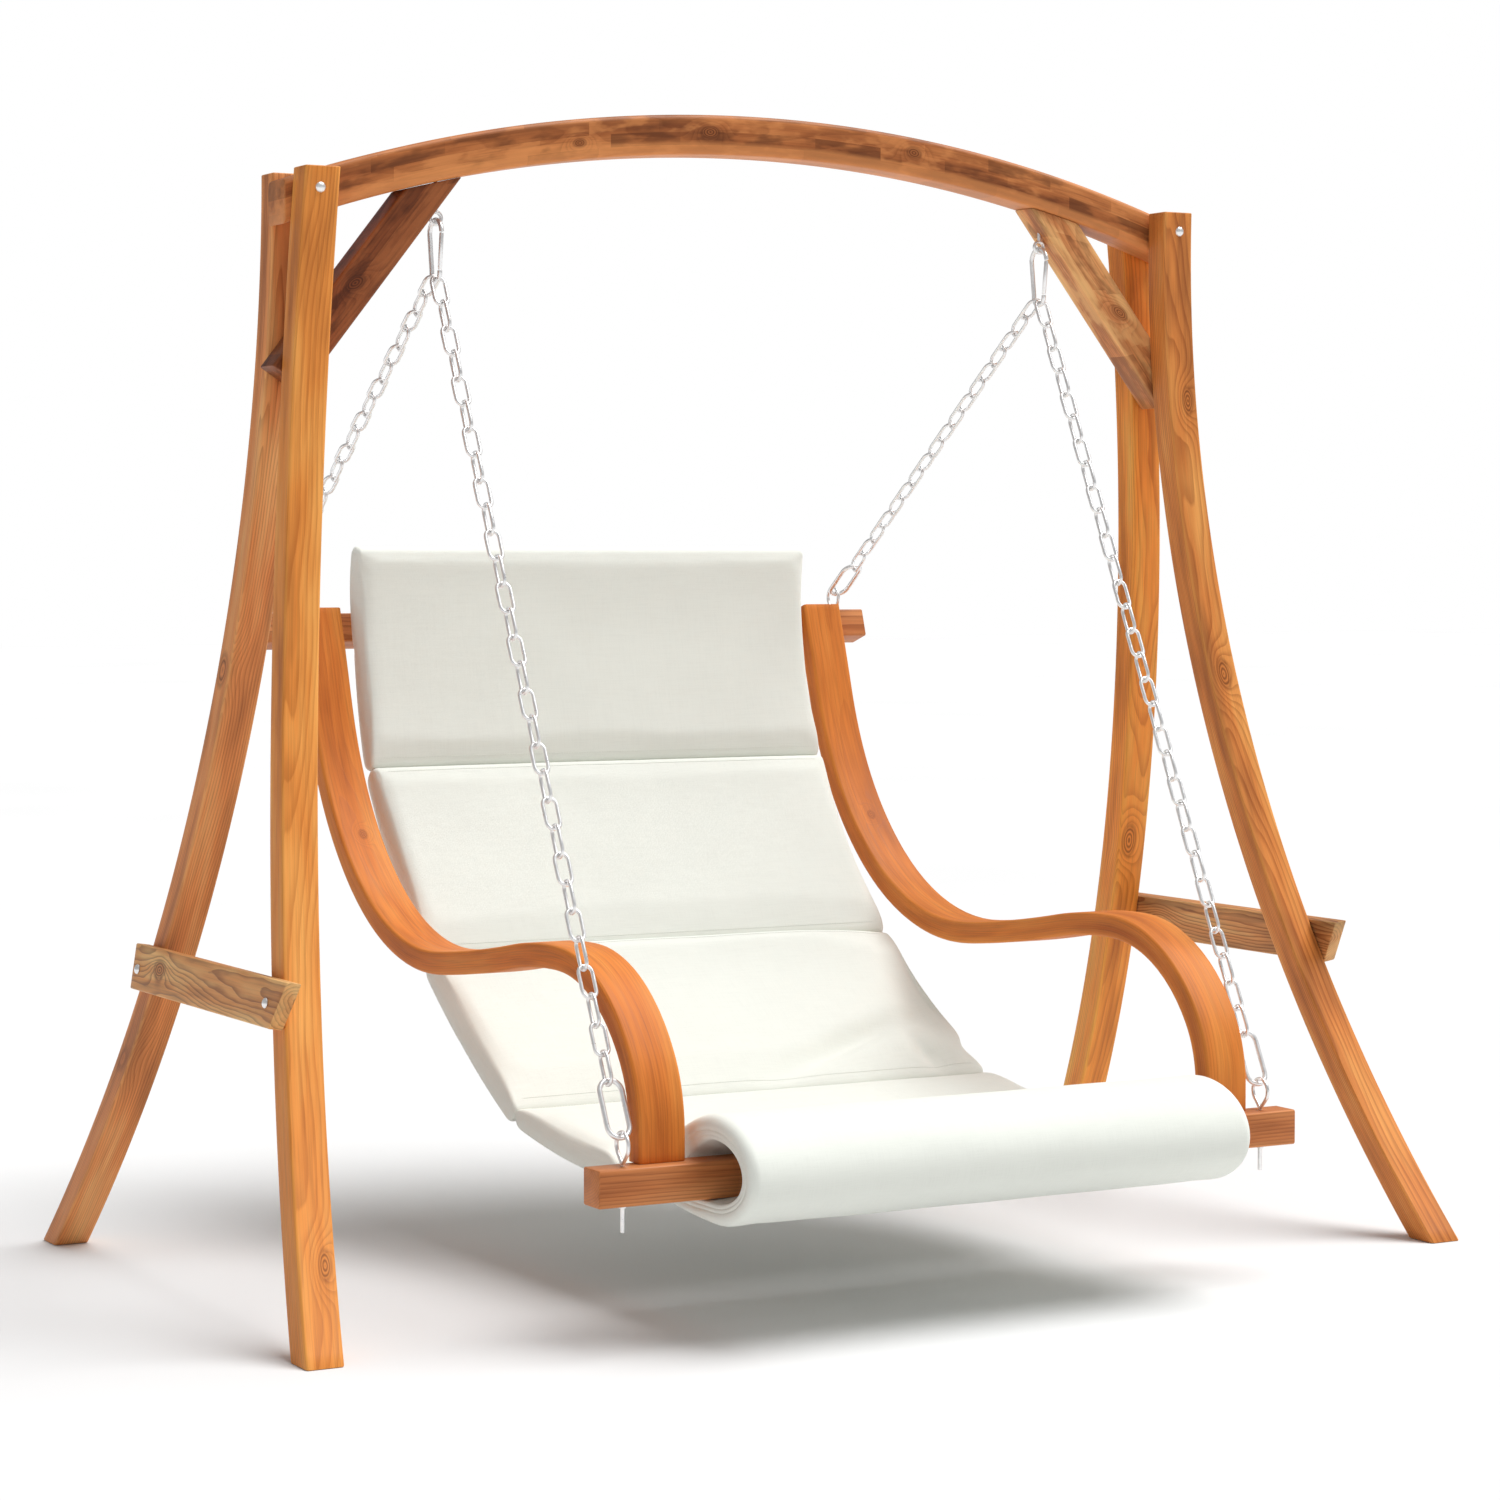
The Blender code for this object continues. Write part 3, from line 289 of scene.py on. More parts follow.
def zinc_material():
    g = Nodes("zinc")
    p = g.attr("place").outputs["Vector"]
    n = g.noise(p, 90, 3, 0.6)
    f = g.noise(p, 700, 2, 0.5)
    g.link(g.ramp(n, [(0.30, (0.84, 0.85, 0.86)), (0.60, (0.94, 0.94, 0.94))]), g.bsdf.inputs["Base Color"])
    g.bsdf.inputs["Metallic"].default_value = 0.75
    g.link(g.m("MULTIPLY_ADD", n, 0.22, 0.20), g.bsdf.inputs["Roughness"])
    g.link(g.bump(g.m("ADD", f, n), 0.0002, 0.35), g.bsdf.inputs["Normal"])
    return g.mat


def fabric_material(name, tint, yarn=0.0011, rib=1.0):
    """Plain woven cover; 'weave' holds the cloth's own width, length and depth in metres."""
    g = Nodes(name)
    v = g.attr("weave").outputs["Vector"]
    a, b, c = g.xyz(v)
    k = 2 * math.pi / yarn
    wob = g.noise(g.scaled(v, (60, 60, 60)), detail=1)
    sa = g.m("SINE", g.m("MULTIPLY_ADD", wob, 1.2, g.m("MULTIPLY", g.m("ADD", a, c), k)))
    sb = g.m("SINE", g.m("MULTIPLY_ADD", wob, 1.2, g.m("MULTIPLY", b, k)))
    cloth = g.m("MULTIPLY", sa, sb)
    slub = g.noise(g.scaled(v, (25, 900, 25)), detail=2)
    slub2 = g.noise(g.scaled(v, (900, 25, 900)), detail=2)
    soil = g.noise(g.scaled(v, (4, 4, 4)), detail=3, rough=0.6)
    col = g.ramp(soil, [(0.30, tuple(x * 0.965 for x in tint)), (0.70, tint)])
    col = g.mix(0.35, col, g.ramp(g.m("ADD", slub, slub2), [(0.75, 0.93), (1.0, 1.0), (1.2, 1.03)]), "MULTIPLY")
    # painted shade: the low cells of the weave, where its bump is lowest, are darkened
    col = g.mix(g.step(cloth, -1.0, 0.2, 0.10, 0.0), col, tuple(x * 0.72 for x in tint))
    g.link(col, g.bsdf.inputs["Base Color"])
    g.link(g.m("MULTIPLY_ADD", slub, 0.12, 0.82), g.bsdf.inputs["Roughness"])
    g.bsdf.inputs["Specular IOR Level"].default_value = 0.18
    g.bsdf.inputs["Sheen Weight"].default_value = 0.18
    g.bsdf.inputs["Sheen Roughness"].default_value = 0.45
    soft = g.noise(g.scaled(v, (9, 16, 9)), detail=3, rough=0.55)
    n1 = g.bump(soft, 0.0035, 0.35)
    g.link(g.bump(g.m("MULTIPLY_ADD", cloth, 0.5, g.m("MULTIPLY", slub, 0.6)), 0.00035, 0.55 * rib, n1),
           g.bsdf.inputs["Normal"])
    g.mat.diffuse_color = (*tint, 1.0)
    return g.mat


# ---- pieces -----------------------------------------------------------------------
def place(name, verts, faces, mat, body, nodes=(), slot=None, smooth=40, **attrs):
    """A mesh piece in the row frame that rides on a body."""
    me = bpy.data.meshes.new(name)
    V = np.array(verts, float).reshape(-1, 3)
    W = V.copy()
    W[:, 1] += STAND_Y
    me.from_pydata([tuple(v) for v in W], [], [tuple(f) for f in faces])
    for key, val in attrs.items():
        val = np.array(val, np.float32)
        if val.ndim == 1:
            me.attributes.new(key, "FLOAT", "POINT").data.foreach_set("value", val)
        else:
            me.attributes.new(key, "FLOAT_VECTOR", "POINT").data.foreach_set("vector", val.ravel())
    bm = bmesh.new()
    bm.from_mesh(me)
    bmesh.ops.recalc_face_normals(bm, faces=bm.faces[:])
    bm.to_mesh(me)
    bm.free()
    me.shade_smooth()
    if smooth is not None:
        me.set_sharp_from_angle(angle=math.radians(smooth))
    me.materials.append(mat)
    ob = bpy.data.objects.new(name, me)
    scene.collection.objects.link(ob)
    if nodes:
        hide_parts(*nodes)
    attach(ob, body)
    return ob


def rounded(x0, x1, y0, y1, r, n=4, mids=3):
    """Rounded rectangle: points and how much each lies on an eased corner."""
    pts, edge = [], []
    corners = ((x1 - r, y1 - r, 0), (x0 + r, y1 - r, 90), (x0 + r, y0 + r, 180), (x1 - r, y0 + r, 270))
    for k, (cx, cy, a0) in enumerate(corners):
        arc = [(cx + r * math.cos(math.radians(a0 + 90 * i / n)),
                cy + r * math.sin(math.radians(a0 + 90 * i / n))) for i in range(n + 1)]
        pts += arc
        edge += [0.35 + 0.65 * math.sin(math.pi * i / n) for i in range(n + 1)]
        nx, ny, na = corners[(k + 1) % 4]
        e = (nx + r * math.cos(math.radians(na)), ny + r * math.sin(math.radians(na)))
        for j in range(mids):
            f = (j + 1) / (mids + 1)
            pts.append((arc[-1][0] * (1 - f) + e[0] * f, arc[-1][1] * (1 - f) + e[1] * f))
            edge.append(0.0)
    return pts, edge


def loft(rings, closed=False):
    """Faces of a tube of equal rings, with its ends capped unless it is closed."""
    n, k = len(rings[0]), len(rings)
    faces = []
    for a in range(k if closed else k - 1):
        b = (a + 1) % k
        for i in range(n):
            j = (i + 1) % n
            faces.append((a * n + i, a * n + j, b * n + j, b * n + i))
    if not closed:
        faces.append(tuple(range(n - 1, -1, -1)))
        faces.append(tuple(range((k - 1) * n, k * n)))
    return faces


def member(name, at, length, count, section, r, mat, body, nodes, slot, ease=0.0018):
    """Wooden member: at(s, w, d) places a section point; the ends are eased."""
    (w0, w1, d0, d1) = section
    stations = [(0.0, ease), (ease * 0.3, ease * 0.3), (ease, 0.0)]
    stations += [(length * i / count, 0.0) for i in range(1, count)]
    stations += [(length - ease, 0.0), (length - ease * 0.3, ease * 0.3), (length, ease)]
    rings, grain, edge = [], [], []
    for s, inset in stations:
        pts, e = rounded(w0 + inset, w1 - inset, d0 + inset, d1 - inset, max(r - inset * 0.5, 0.001))
        rings.append([at(s, w, d) for w, d in pts])
        grain += [(w, d, s) for w, d in pts]
        edge += [max(v, 0.9 if inset > 0 else 0.0) for v in e]
    verts = [p for ring in rings for p in ring]
    return place(name, verts, loft(rings), mat, body, nodes, slot, smooth=50, grain=grain, edge=edge)


def tube(path, r, closed=True, side=(1, 0, 0), n=12):
    """Vertices and faces of round wire along a path."""
    P = np.array(path, float)
    side = np.array(side, float)
    side = side / np.linalg.norm(side)
    N = len(P)
    rings = []
    for i in range(N):
        t = P[(i + 1) % N] - P[i - 1] if closed else P[min(i + 1, N - 1)] - P[max(i - 1, 0)]
        t = t / np.linalg.norm(t)
        u = np.cross(t, side)
        u = u / np.linalg.norm(u)
        v = np.cross(t, u)
        rings.append([P[i] + r * (math.cos(a) * u + math.sin(a) * v)
                      for a in (2 * math.pi * k / n for k in range(n))])
    return [p for ring in rings for p in ring], loft(rings, closed)


def lathe(profile, base, axis, n=32):
    base, axis = np.array(base, float), np.array(axis, float)
    axis = axis / np.linalg.norm(axis)
    u = np.cross(axis, (0.0, 0.0, 1.0) if abs(axis[2]) < 0.9 else (1.0, 0.0, 0.0))
    u = u / np.linalg.norm(u)
    v = np.cross(axis, u)
    prof = [(h, max(r, 1e-5)) for h, r in profile]
    rings = [[base + axis * h + r * (math.cos(t) * u + math.sin(t) * v)
              for t in (2 * math.pi * i / n for i in range(n))] for h, r in prof]
    return [p for ring in rings for p in ring], loft(rings)


def joined(parts):
    verts, faces = [], []
    for v, f in parts:
        o = len(verts)
        verts += list(v)
        faces += [tuple(i + o for i in q) for q in f]
    return verts, faces


ZINC = zinc_material()


def metal(name, parts, body, nodes, smooth=45):
    v, f = joined(parts)
    return place(name, v, f, ZINC, body, nodes, "zinc", smooth=smooth, place=[tuple(p) for p in v])


# ---- stand ------------------------------------------------------------------------
def leg_x(z):
    u = 1.0 - z / LEG_HEIGHT
    return LEG_TOP_X + LEG_SPLAY_STRAIGHT * u + (LEG_FOOT_X - LEG_TOP_X - LEG_SPLAY_STRAIGHT) * u * u


def leg_y(z):
    return LEG_BEND_Y + LEG_BEND_R - math.sqrt(LEG_BEND_R ** 2 - (z - LEG_BEND_Z) ** 2)


def leg_slope(z):
    return (z - LEG_BEND_Z) / math.sqrt(LEG_BEND_R ** 2 - (z - LEG_BEND_Z) ** 2)


def leg_lean(z):
    u = 1.0 - z / LEG_HEIGHT
    return (LEG_SPLAY_STRAIGHT + 2 * (LEG_FOOT_X - LEG_TOP_X - LEG_SPLAY_STRAIGHT) * u) / LEG_HEIGHT


def beam_top(x):
    return BEAM_APEX_Z - BEAM_R + math.sqrt(BEAM_R ** 2 - x * x)


def beam_bottom(x):
    return BEAM_APEX_Z - BEAM_R + math.sqrt((BEAM_R - BEAM_HEIGHT) ** 2 - x * x)


HW, HD = 0.5 * LEG_WIDTH, 0.5 * LEG_DEPTH
GOLD = (srgb(170, 91, 32), srgb(232, 142, 61), srgb(250, 178, 93))
GOLD_REAR = (srgb(182, 96, 32), srgb(249, 150, 61), srgb(250, 188, 92))
RED = (srgb(149, 78, 35), srgb(220, 131, 62), srgb(250, 177, 96))
RED_REAR = (srgb(158, 86, 46), srgb(233, 143, 80), srgb(250, 193, 126))
BROWN = (srgb(114, 59, 30), srgb(175, 101, 53), srgb(228, 149, 87))
# the left brace's wood is a darker copy of the right brace's: painted shade for the shade the left brace stands in
BRACE_LEFT_SHADED = (srgb(84, 39, 20), srgb(128, 67, 34), srgb(168, 99, 56))
BRACE_RIGHT = (srgb(139, 77, 45), srgb(212, 134, 79), srgb(250, 197, 130))
ORANGE = (srgb(172, 85, 28), srgb(216, 121, 46), srgb(232, 149, 68))
BARS = (srgb(142, 75, 39), srgb(193, 115, 64), srgb(218, 146, 91))
BOARD = (srgb(114, 60, 32), srgb(220, 143, 81), srgb(250, 209, 142))

LEG_LOOKS = {
    ("front", "left"): dict(c=GOLD, seed=1, pith=(0.02, -0.09), tilt=(0.012, 0.03), contrast=0.50, warp=0.018,
                            knots=((0.127, -0.012, 0.026, 0.009, 0.018),)),
    ("rear", "left"): dict(c=RED_REAR, seed=2, pith=(0.06, -0.05), tilt=(-0.03, 0.02), contrast=0.62, warp=0.026,
                           knots=((0.325, 0.020, 0.0, 0.010, 0.022), (0.955, 0.022, 0.0, 0.013, 0.024))),
    ("front", "right"): dict(c=RED, seed=3, pith=(-0.05, -0.08), tilt=(0.02, -0.03), contrast=0.62, warp=0.026,
                             knots=((0.93, 0.0, 0.026, 0.012, 0.022), (1.40, 0.010, 0.026, 0.010, 0.020))),
    ("rear", "right"): dict(c=GOLD_REAR, seed=4, pith=(-0.03, -0.10), tilt=(0.03, 0.02), contrast=0.60, warp=0.030,
                            knots=((0.62, -0.008, -0.024, 0.012, 0.024),)),
}
for (end, side), look in LEG_LOOKS.items():
    sx, sy = (-1 if side == "left" else 1), (-1 if end == "front" else 1)

    def at(s, w, d, sx=sx, sy=sy):
        z = min(max(s, 0.0), LEG_HEIGHT)
        depth = LEG_DEPTH * math.hypot(1.0, leg_slope(z))
        return (sx * (leg_x(z) - HW + w), sy * (leg_y(z) - 0.5 * depth + d * depth / LEG_DEPTH), z)
    dark, mid, light = look["c"]
    mat = wood("leg_wood_%s_%s" % (end, side), dark, mid, light, look["seed"], pith=look["pith"],
               tilt=look["tilt"], contrast=look["contrast"], warp=look["warp"], knots=look["knots"])
    n = "leg_%s_%s" % (end, side)
    member(n + "_wood", at, LEG_HEIGHT, 90, (-HW, HW, -HD, HD), 0.0042, mat, "stand", [n], "leg_wood")


def at_beam(s, w, d):
    x = s - BEAM_HALF_X
    zt, zb = beam_top(x), beam_bottom(x)
    return (x, d, 0.5 * (zt + zb) + w * (zt - zb) / BEAM_HEIGHT)


member("top_beam_wood", at_beam, 2 * BEAM_HALF_X, 90,
       (-0.5 * BEAM_HEIGHT, 0.5 * BEAM_HEIGHT, -BEAM_HALF_Y, BEAM_HALF_Y), 0.009,
       wood("beam_wood", *BROWN, 5, pith=(0.01, 0.09), tilt=(0.02, 0.0), contrast=0.35, warp=0.03,
            patches=0.75, low_light=0.55, fibre=0.6,
            knots=((0.735, 0.004, -0.034, 0.008, 0.013), (0.50, -0.006, -0.034, 0.006, 0.010),
                   (1.12, 0.006, -0.034, 0.008, 0.013))),
       "stand", ["top_beam"], "beam_wood")

ca, sa = math.cos(BRACE_ANGLE), math.sin(BRACE_ANGLE)
up, out = np.array([-ca, sa]), np.array([sa, ca])
for side, sx in (("left", -1), ("right", 1)):
    under = np.array(BRACE_UNDER)
    over = under + out * BRACE_WIDTH
    tip = over + up * ((BRACE_TIP_Z - over[1]) / sa)
    cut = np.array([-math.cos(BRACE_END_CUT), -math.sin(BRACE_END_CUT)])
    sol = np.linalg.solve(np.array([cut, -up]).T, under - tip)
    heel = tip + cut * sol[0]

    def reach(p):
        lo, hi = 0.0, 0.6
        for _ in range(50):
            m = 0.5 * (lo + hi)
            x, z = p + up * m
            lo, hi = (m, hi) if z < beam_bottom(x) - 0.0006 else (lo, m)
        return lo

    def at_brace(s, w, d, sx=sx, heel=heel, tip=tip):
        f = w / BRACE_WIDTH + 0.5
        low = heel + (tip - heel) * f
        p = low + up * (reach(low) * s / 0.42)
        return (sx * p[0], d, p[1])
    n = "knee_brace_%s" % side
    # the left brace takes the darker copy of the wood, which is painted shade
    member(n + "_wood", at_brace, 0.42, 30,
           (-0.5 * BRACE_WIDTH, 0.5 * BRACE_WIDTH, -BRACE_HALF_Y, BRACE_HALF_Y), 0.005,
           wood("brace_wood_" + side, *(BRACE_LEFT_SHADED if side == "left" else BRACE_RIGHT), 6 + sx, pith=(0.03, 0.08), tilt=(0.05, 0.0), contrast=0.40,
                warp=0.03, patches=0.70, low_light=0.0, fibre=0.6,
                knots=((0.20, 0.005, -0.028, 0.009, 0.015),)),
           "stand", [n], "beam_wood")

    # side board
    lean = leg_lean(BOARD_Z)
    nrm = 1.0 / math.hypot(1.0, lean)
    hh = 0.5 * BOARD_HEIGHT

    def at_board(s, w, d, sx=sx, lean=lean, nrm=nrm):
        t = d + 0.5 * BOARD_THICK
        x = leg_x(BOARD_Z) + 0.0012 + t * nrm - w * lean * nrm
        z = BOARD_Z + w * nrm + t * lean * nrm
        k = (w + hh) / (2 * hh)
        y0 = BOARD_FRONT_BOTTOM_Y + (BOARD_FRONT_TOP_Y - BOARD_FRONT_BOTTOM_Y) * k
        return (sx * x, y0 + (BOARD_REAR_Y - y0) * s / 0.62, z)
    n = "side_board_%s" % side
    member(n + "_wood", at_board, 0.62, 40, (-hh, hh, -0.5 * BOARD_THICK, 0.5 * BOARD_THICK), 0.0026,
           wood("board_wood_" + side, *BOARD, 9 + sx, spacing=0.0060, pith=(0.01, -0.020), tilt=(0.03, -0.015),
                contrast=0.85, warp=0.030, figure=0.6,
                knots=((0.50, 0.004, 0.012, 0.011, 0.020),)),
           "stand", [n], "board_wood")

    # through bolts and board bolts with low domed heads
    yb = leg_y(TOP_BOLT_Z)
    seat_y = yb - 0.0015
    L = 2 * seat_y + 0.0105
    dome = [(-0.0056, 0), (-0.00558, 0.0014), (-0.0052, 0.0032), (-0.0045, 0.0052), (-0.0034, 0.0068),
            (-0.0020, 0.0080), (-0.0006, 0.0086), (0, 0.0084)]
    metal("top_bolt_%s_metal" % side,
          [lathe(dome + [(0, 0.0041), (L - 0.001, 0.0041), (L, 0.0032), (L, 0)],
                 (sx * TOP_BOLT_X, -seat_y - GAP, TOP_BOLT_Z), (0, 1, 0))],
          "stand", ["top_bolt_%s" % side])
    d3 = np.array([-sx * nrm, 0, -lean * nrm])
    for by, bz in BOARD_BOLTS:
        end = "front" if by < 0 else "rear"
        face = np.array([sx * (leg_x(bz) + 0.0012 + BOARD_THICK * nrm), by, bz + BOARD_THICK * lean * nrm])
        metal("board_bolt_%s_%s_metal" % (end, side),
              [lathe([(h * 0.9, r * 0.95) for h, r in dome] + [(0, 0.0035), (0.056, 0.0035), (0.061, 0.001), (0.0612, 0)],
                     face - d3 * 0.0006, d3)],
              "stand", ["board_bolt_%s_%s" % (end, side)])

    # eye screw with a turned collar under the brace
    zc = HANG_Z + EYE_MEAN_R
    ring = [(sx * HANG_X + EYE_MEAN_R * math.cos(t), 0, zc + EYE_MEAN_R * math.sin(t))
            for t in (2 * math.pi * i / 40 for i in range(40))]
    metal("hanging_eye_%s_metal" % side,
          [tube(ring, EYE_WIRE_R, side=(0, 1, 0), n=14),
           lathe([(0, 0), (0, 0.0030), (0.070, 0.0030), (0.076, 0.0008), (0.0762, 0)],
                 (sx * HANG_X, 0, zc + EYE_MEAN_R - 0.0015), (0, 0, 1), 20)],
          "stand", ["hanging_eye_%s" % side])

# ---- seat -------------------------------------------------------------------------
def bends(start, heading, table, n=12):
    p = [np.array(start, float)]
    a = [heading]
    h = heading
    for L, h1 in table:
        for i in range(n):
            m = math.radians(h + (h1 - h) * (i + 0.5) / n)
            p.append(p[-1] + L / n * np.array([-math.cos(m), -math.sin(m)]))
            a.append(h + (h1 - h) * (i + 1) / n)
        h = h1
    return p, a


arm_line, arm_head = bends(ARM_START, ARM_HEADING, ARM_BENDS, 12)
arm_line.append(np.array([arm_line[-1][0], FRONT_BAR_TOP + GAP]))
arm_head.append(90.0)
arm_s = np.concatenate([[0], np.cumsum([np.linalg.norm(b - a) for a, b in zip(arm_line, arm_line[1:])])])
arm_head = np.array(arm_head)
arm_pts = np.array(arm_line)
# even out the heading so that neighbouring bends run into each other without a kink
soft_s = np.linspace(0, arm_s[-1], 400)
soft_h = np.interp(soft_s, arm_s, arm_head)
kern = np.hanning(31)
kern /= kern.sum()
soft_h = np.convolve(np.pad(soft_h, 15, mode="edge"), kern, mode="valid")
top_dir = np.array([-math.cos(math.radians(ARM_HEADING)), -math.sin(math.radians(ARM_HEADING))])
top_nrm = np.array([-top_dir[1], top_dir[0]])
rear_c = np.array(ARM_START) + top_dir * 0.0245 + top_nrm * (0.5 * (ARM_THICK + BAR_DEPTH) + GAP)

for side, sx in (("left", -1), ("right", 1)):
    mx, hw = 0.5 * (ARM_IN_X + ARM_OUT_X), 0.5 * (ARM_OUT_X - ARM_IN_X)

    def at_arm(s, w, d, sx=sx):
        y, z = (np.interp(s, arm_s, arm_pts[:, k]) for k in (0, 1))
        a = math.radians(float(np.interp(s, soft_s, soft_h)))
        return (sx * (mx + w), y + d * math.sin(a), z - d * math.cos(a))
    member("arm_%s_wood" % side, at_arm, float(arm_s[-1]), 150, (-hw, hw, -0.5 * ARM_THICK, 0.5 * ARM_THICK), 0.0055,
           wood("arm_wood_" + side, *ORANGE, 12 + sx, spacing=0.0034, pith=(0.01, -0.11), tilt=(0.012, 0.01),
                contrast=0.30, warp=0.014, lam=0.0094, fibre=0.55, rough=0.52,
                knots=((0.43, 0.004 * sx, -0.019, 0.0060, 0.0085),)),
           "seat", ["arm_%s" % side], "arm_wood", ease=0.0012)

bars = wood("bar_wood", *BARS, 15, spacing=0.0042, pith=(0.055, 0.035), tilt=(0.006, 0.0), contrast=0.62, warp=0.012)
member("front_bar_wood", lambda s, w, d: (s - BAR_HALF_X, FRONT_BAR_Y + d, FRONT_BAR_TOP - 0.5 * BAR_HEIGHT + w),
       2 * BAR_HALF_X, 24, (-0.5 * BAR_HEIGHT, 0.5 * BAR_HEIGHT, -0.5 * BAR_DEPTH, 0.5 * BAR_DEPTH), 0.0036,
       bars, "seat", ["front_bar"], "bar_wood")
bars2 = wood("rear_bar_wood", *BARS, 17, spacing=0.0040, pith=(-0.03, 0.05), tilt=(0.006, 0.0), contrast=0.75, warp=0.016)
member("rear_bar_wood",
       lambda s, w, d: (s - REAR_BAR_HALF_X, *(rear_c + top_nrm * d - top_dir * w)),
       2 * REAR_BAR_HALF_X, 24, (-0.5 * REAR_BAR_HEIGHT, 0.5 * REAR_BAR_HEIGHT, -0.5 * BAR_DEPTH, 0.5 * BAR_DEPTH),
       0.0036, bars2, "seat", ["rear_bar"], "bar_wood")

# carabiner
hook_top = HANG_Z + EYE_WIRE_R + GAP + 2 * HOOK_WIRE_R
zt = hook_top - HOOK_WIRE_R - HOOK_TOP_R
zl = hook_top - HOOK_HEIGHT + HOOK_WIRE_R + HOOK_LOW_R
side_tilt = math.asin((HOOK_TOP_R - HOOK_LOW_R) / (zt - zl))


def hook_path(n=26):
    a0, a1 = math.pi - side_tilt, side_tilt
    pts = [(HOOK_TOP_R * math.cos(a), zt + HOOK_TOP_R * math.sin(a))
           for a in (a0 + (a1 - a0) * i / n for i in range(n + 1))]
    pts += [(HOOK_LOW_R * math.cos(a), zl + HOOK_LOW_R * math.sin(a))
            for a in (side_tilt - (math.pi + 2 * side_tilt) * i / n for i in range(n + 1))]
    return pts


def stadium(c, along, width, length, r, plane, n=9):
    c, along, plane = (np.array(v, float) for v in (c, along, plane))
    across = np.cross(plane, along)
    rad, half = 0.5 * width - r, 0.5 * (length - width)
    pts = []
    for s, a0 in ((1, 0.0), (-1, math.pi)):
        for i in range(n + 1):
            a = a0 + math.pi * i / n
            pts.append(c + along * s * half + rad * (math.cos(a) * across + math.sin(a) * along))
    return pts


hb = 0.5 * REAR_BAR_HEIGHT
for side, sx in (("left", -1), ("right", 1)):
    X = sx * HANG_X
    path = [np.array((X, y, z)) for y, z in hook_path()]
    metal("carabiner_%s_metal" % side, [tube(path, HOOK_WIRE_R, closed=False, n=16)], "seat", ["carabiner_%s" % side])
    ga, gb = path[-1], path[0]
    gd = (gb - ga) / np.linalg.norm(gb - ga)
    L = float(np.linalg.norm(gb - ga))
    metal("carabiner_gate_%s_metal" % side,
          [lathe([(0.0016, 0), (0.0016, GATE_R * 0.8), (0.0026, GATE_R), (L - 0.0030, GATE_R),
                  (L - 0.0016, GATE_R * 0.75), (L - 0.0016, 0)], ga, gd, 20)],
          "gate_%s" % side, ["carabiner_gate_%s" % side])
    C = np.array([X, 0.0, zl])
    for end, base, axis in (
            ("front", np.array([sx * SEAT_EYE_X, FRONT_BAR_Y, FRONT_BAR_TOP]), np.array([0, 0, 1.0])),
            ("rear", np.array([sx * SEAT_EYE_X, *(rear_c - top_dir * hb)]), np.array([0, *(-top_dir)]))):
        wr, hw = SEAT_EYE_WIRE_R, SEAT_EYE_HALF_W
        centre = base + axis * (SEAT_EYE_HEIGHT - wr - hw)
        low = base + axis * (0.0030 + wr)
        xa = np.cross(axis, (1.0, 0, 0))
        tilt = math.asin((hw - 0.0025) / (SEAT_EYE_HEIGHT - 2 * wr - hw - 0.0030))
        pts = [centre + hw * (math.cos(t) * xa + math.sin(t) * axis)
               for t in (-tilt + (math.pi + 2 * tilt) * i / 26 for i in range(27))]
        pts += [low + 0.0025 * (math.cos(t) * xa + math.sin(t) * axis)
                for t in (math.pi + tilt + (math.pi - 2 * tilt) * i / 8 for i in range(9))]
        metal("seat_eye_%s_%s_metal" % (end, side),
              [tube(pts, wr, n=14),
               lathe([(0, 0), (0, 0.0034), (SHANK_LENGTH, 0.0034), (SHANK_LENGTH + 0.001, 0.0026),
                      (SHANK_LENGTH + 0.001, 0)], low - axis * 0.001, -axis, 20)],
              "seat", ["seat_eye_%s_%s" % (end, side)])
        # chain of long links from the big end link up to the carabiner's low curve
        d = C - centre
        d = d / np.linalg.norm(d)
        start = centre + d * (hw - wr - BIG_LINK_WIRE_R - GAP - 0.0002)
        pull = C - start
        pull = pull / np.linalg.norm(pull)
        anchor = C - pull * (HOOK_LOW_R - HOOK_WIRE_R - LINK_WIRE_R - 0.0002)
        face = np.cross((1.0, 0, 0), pull)
        face = face / np.linalg.norm(face)
        edge_on = np.array([1.0, 0, 0]) - pull * pull[0]
        edge_on = edge_on / np.linalg.norm(edge_on)
        lc = start + pull * (0.5 * BIG_LINK_LENGTH - BIG_LINK_WIRE_R)
        big = stadium(lc, pull, BIG_LINK_WIDTH, BIG_LINK_LENGTH, BIG_LINK_WIRE_R, face, 12)
        metal("end_link_%s_%s_metal" % (end, side), [tube(big, BIG_LINK_WIRE_R, side=face, n=14)],
              "seat", ["end_link_%s_%s" % (end, side)])
        first = lc + pull * (0.5 * BIG_LINK_LENGTH - 2 * BIG_LINK_WIRE_R - LINK_WIRE_R)
        span = float(np.linalg.norm(anchor - first))
        tail = 2 * LINK_WIRE_R
        count = 2 * int(round((span - tail) / LINK_PITCH / 2))
        pitch = (span - tail) / count
        links = []
        for k in range(count):
            c = first + pull * (0.5 * (pitch + tail) + k * pitch)
            plane = edge_on if k % 2 == 0 else face
            links.append(tube(stadium(c, pull, LINK_WIDTH, pitch + 4 * LINK_WIRE_R, LINK_WIRE_R, plane),
                              LINK_WIRE_R, side=plane, n=10))
        metal("chain_%s_%s_metal" % (end, side), links, "seat", ["chain_%s_%s" % (end, side)])

# ---- sling ------------------------------------------------------------------------
IVORY = srgb(242, 245, 237)
FABRIC = fabric_material("sling_fabric", IVORY)
LINER = fabric_material("sling_liner", tuple(c * 0.93 for c in IVORY), yarn=0.0015)


def sag_line(p, q, sag, n):
    p, q = np.array(p, float), np.array(q, float)
    d = q - p
    L = np.linalg.norm(d)
    nrm = np.array([-d[1], d[0]]) / L
    return [p + d * s + nrm * sag * 4 * s * (1 - s) for s in (i / n for i in range(n + 1))], nrm, float(L)


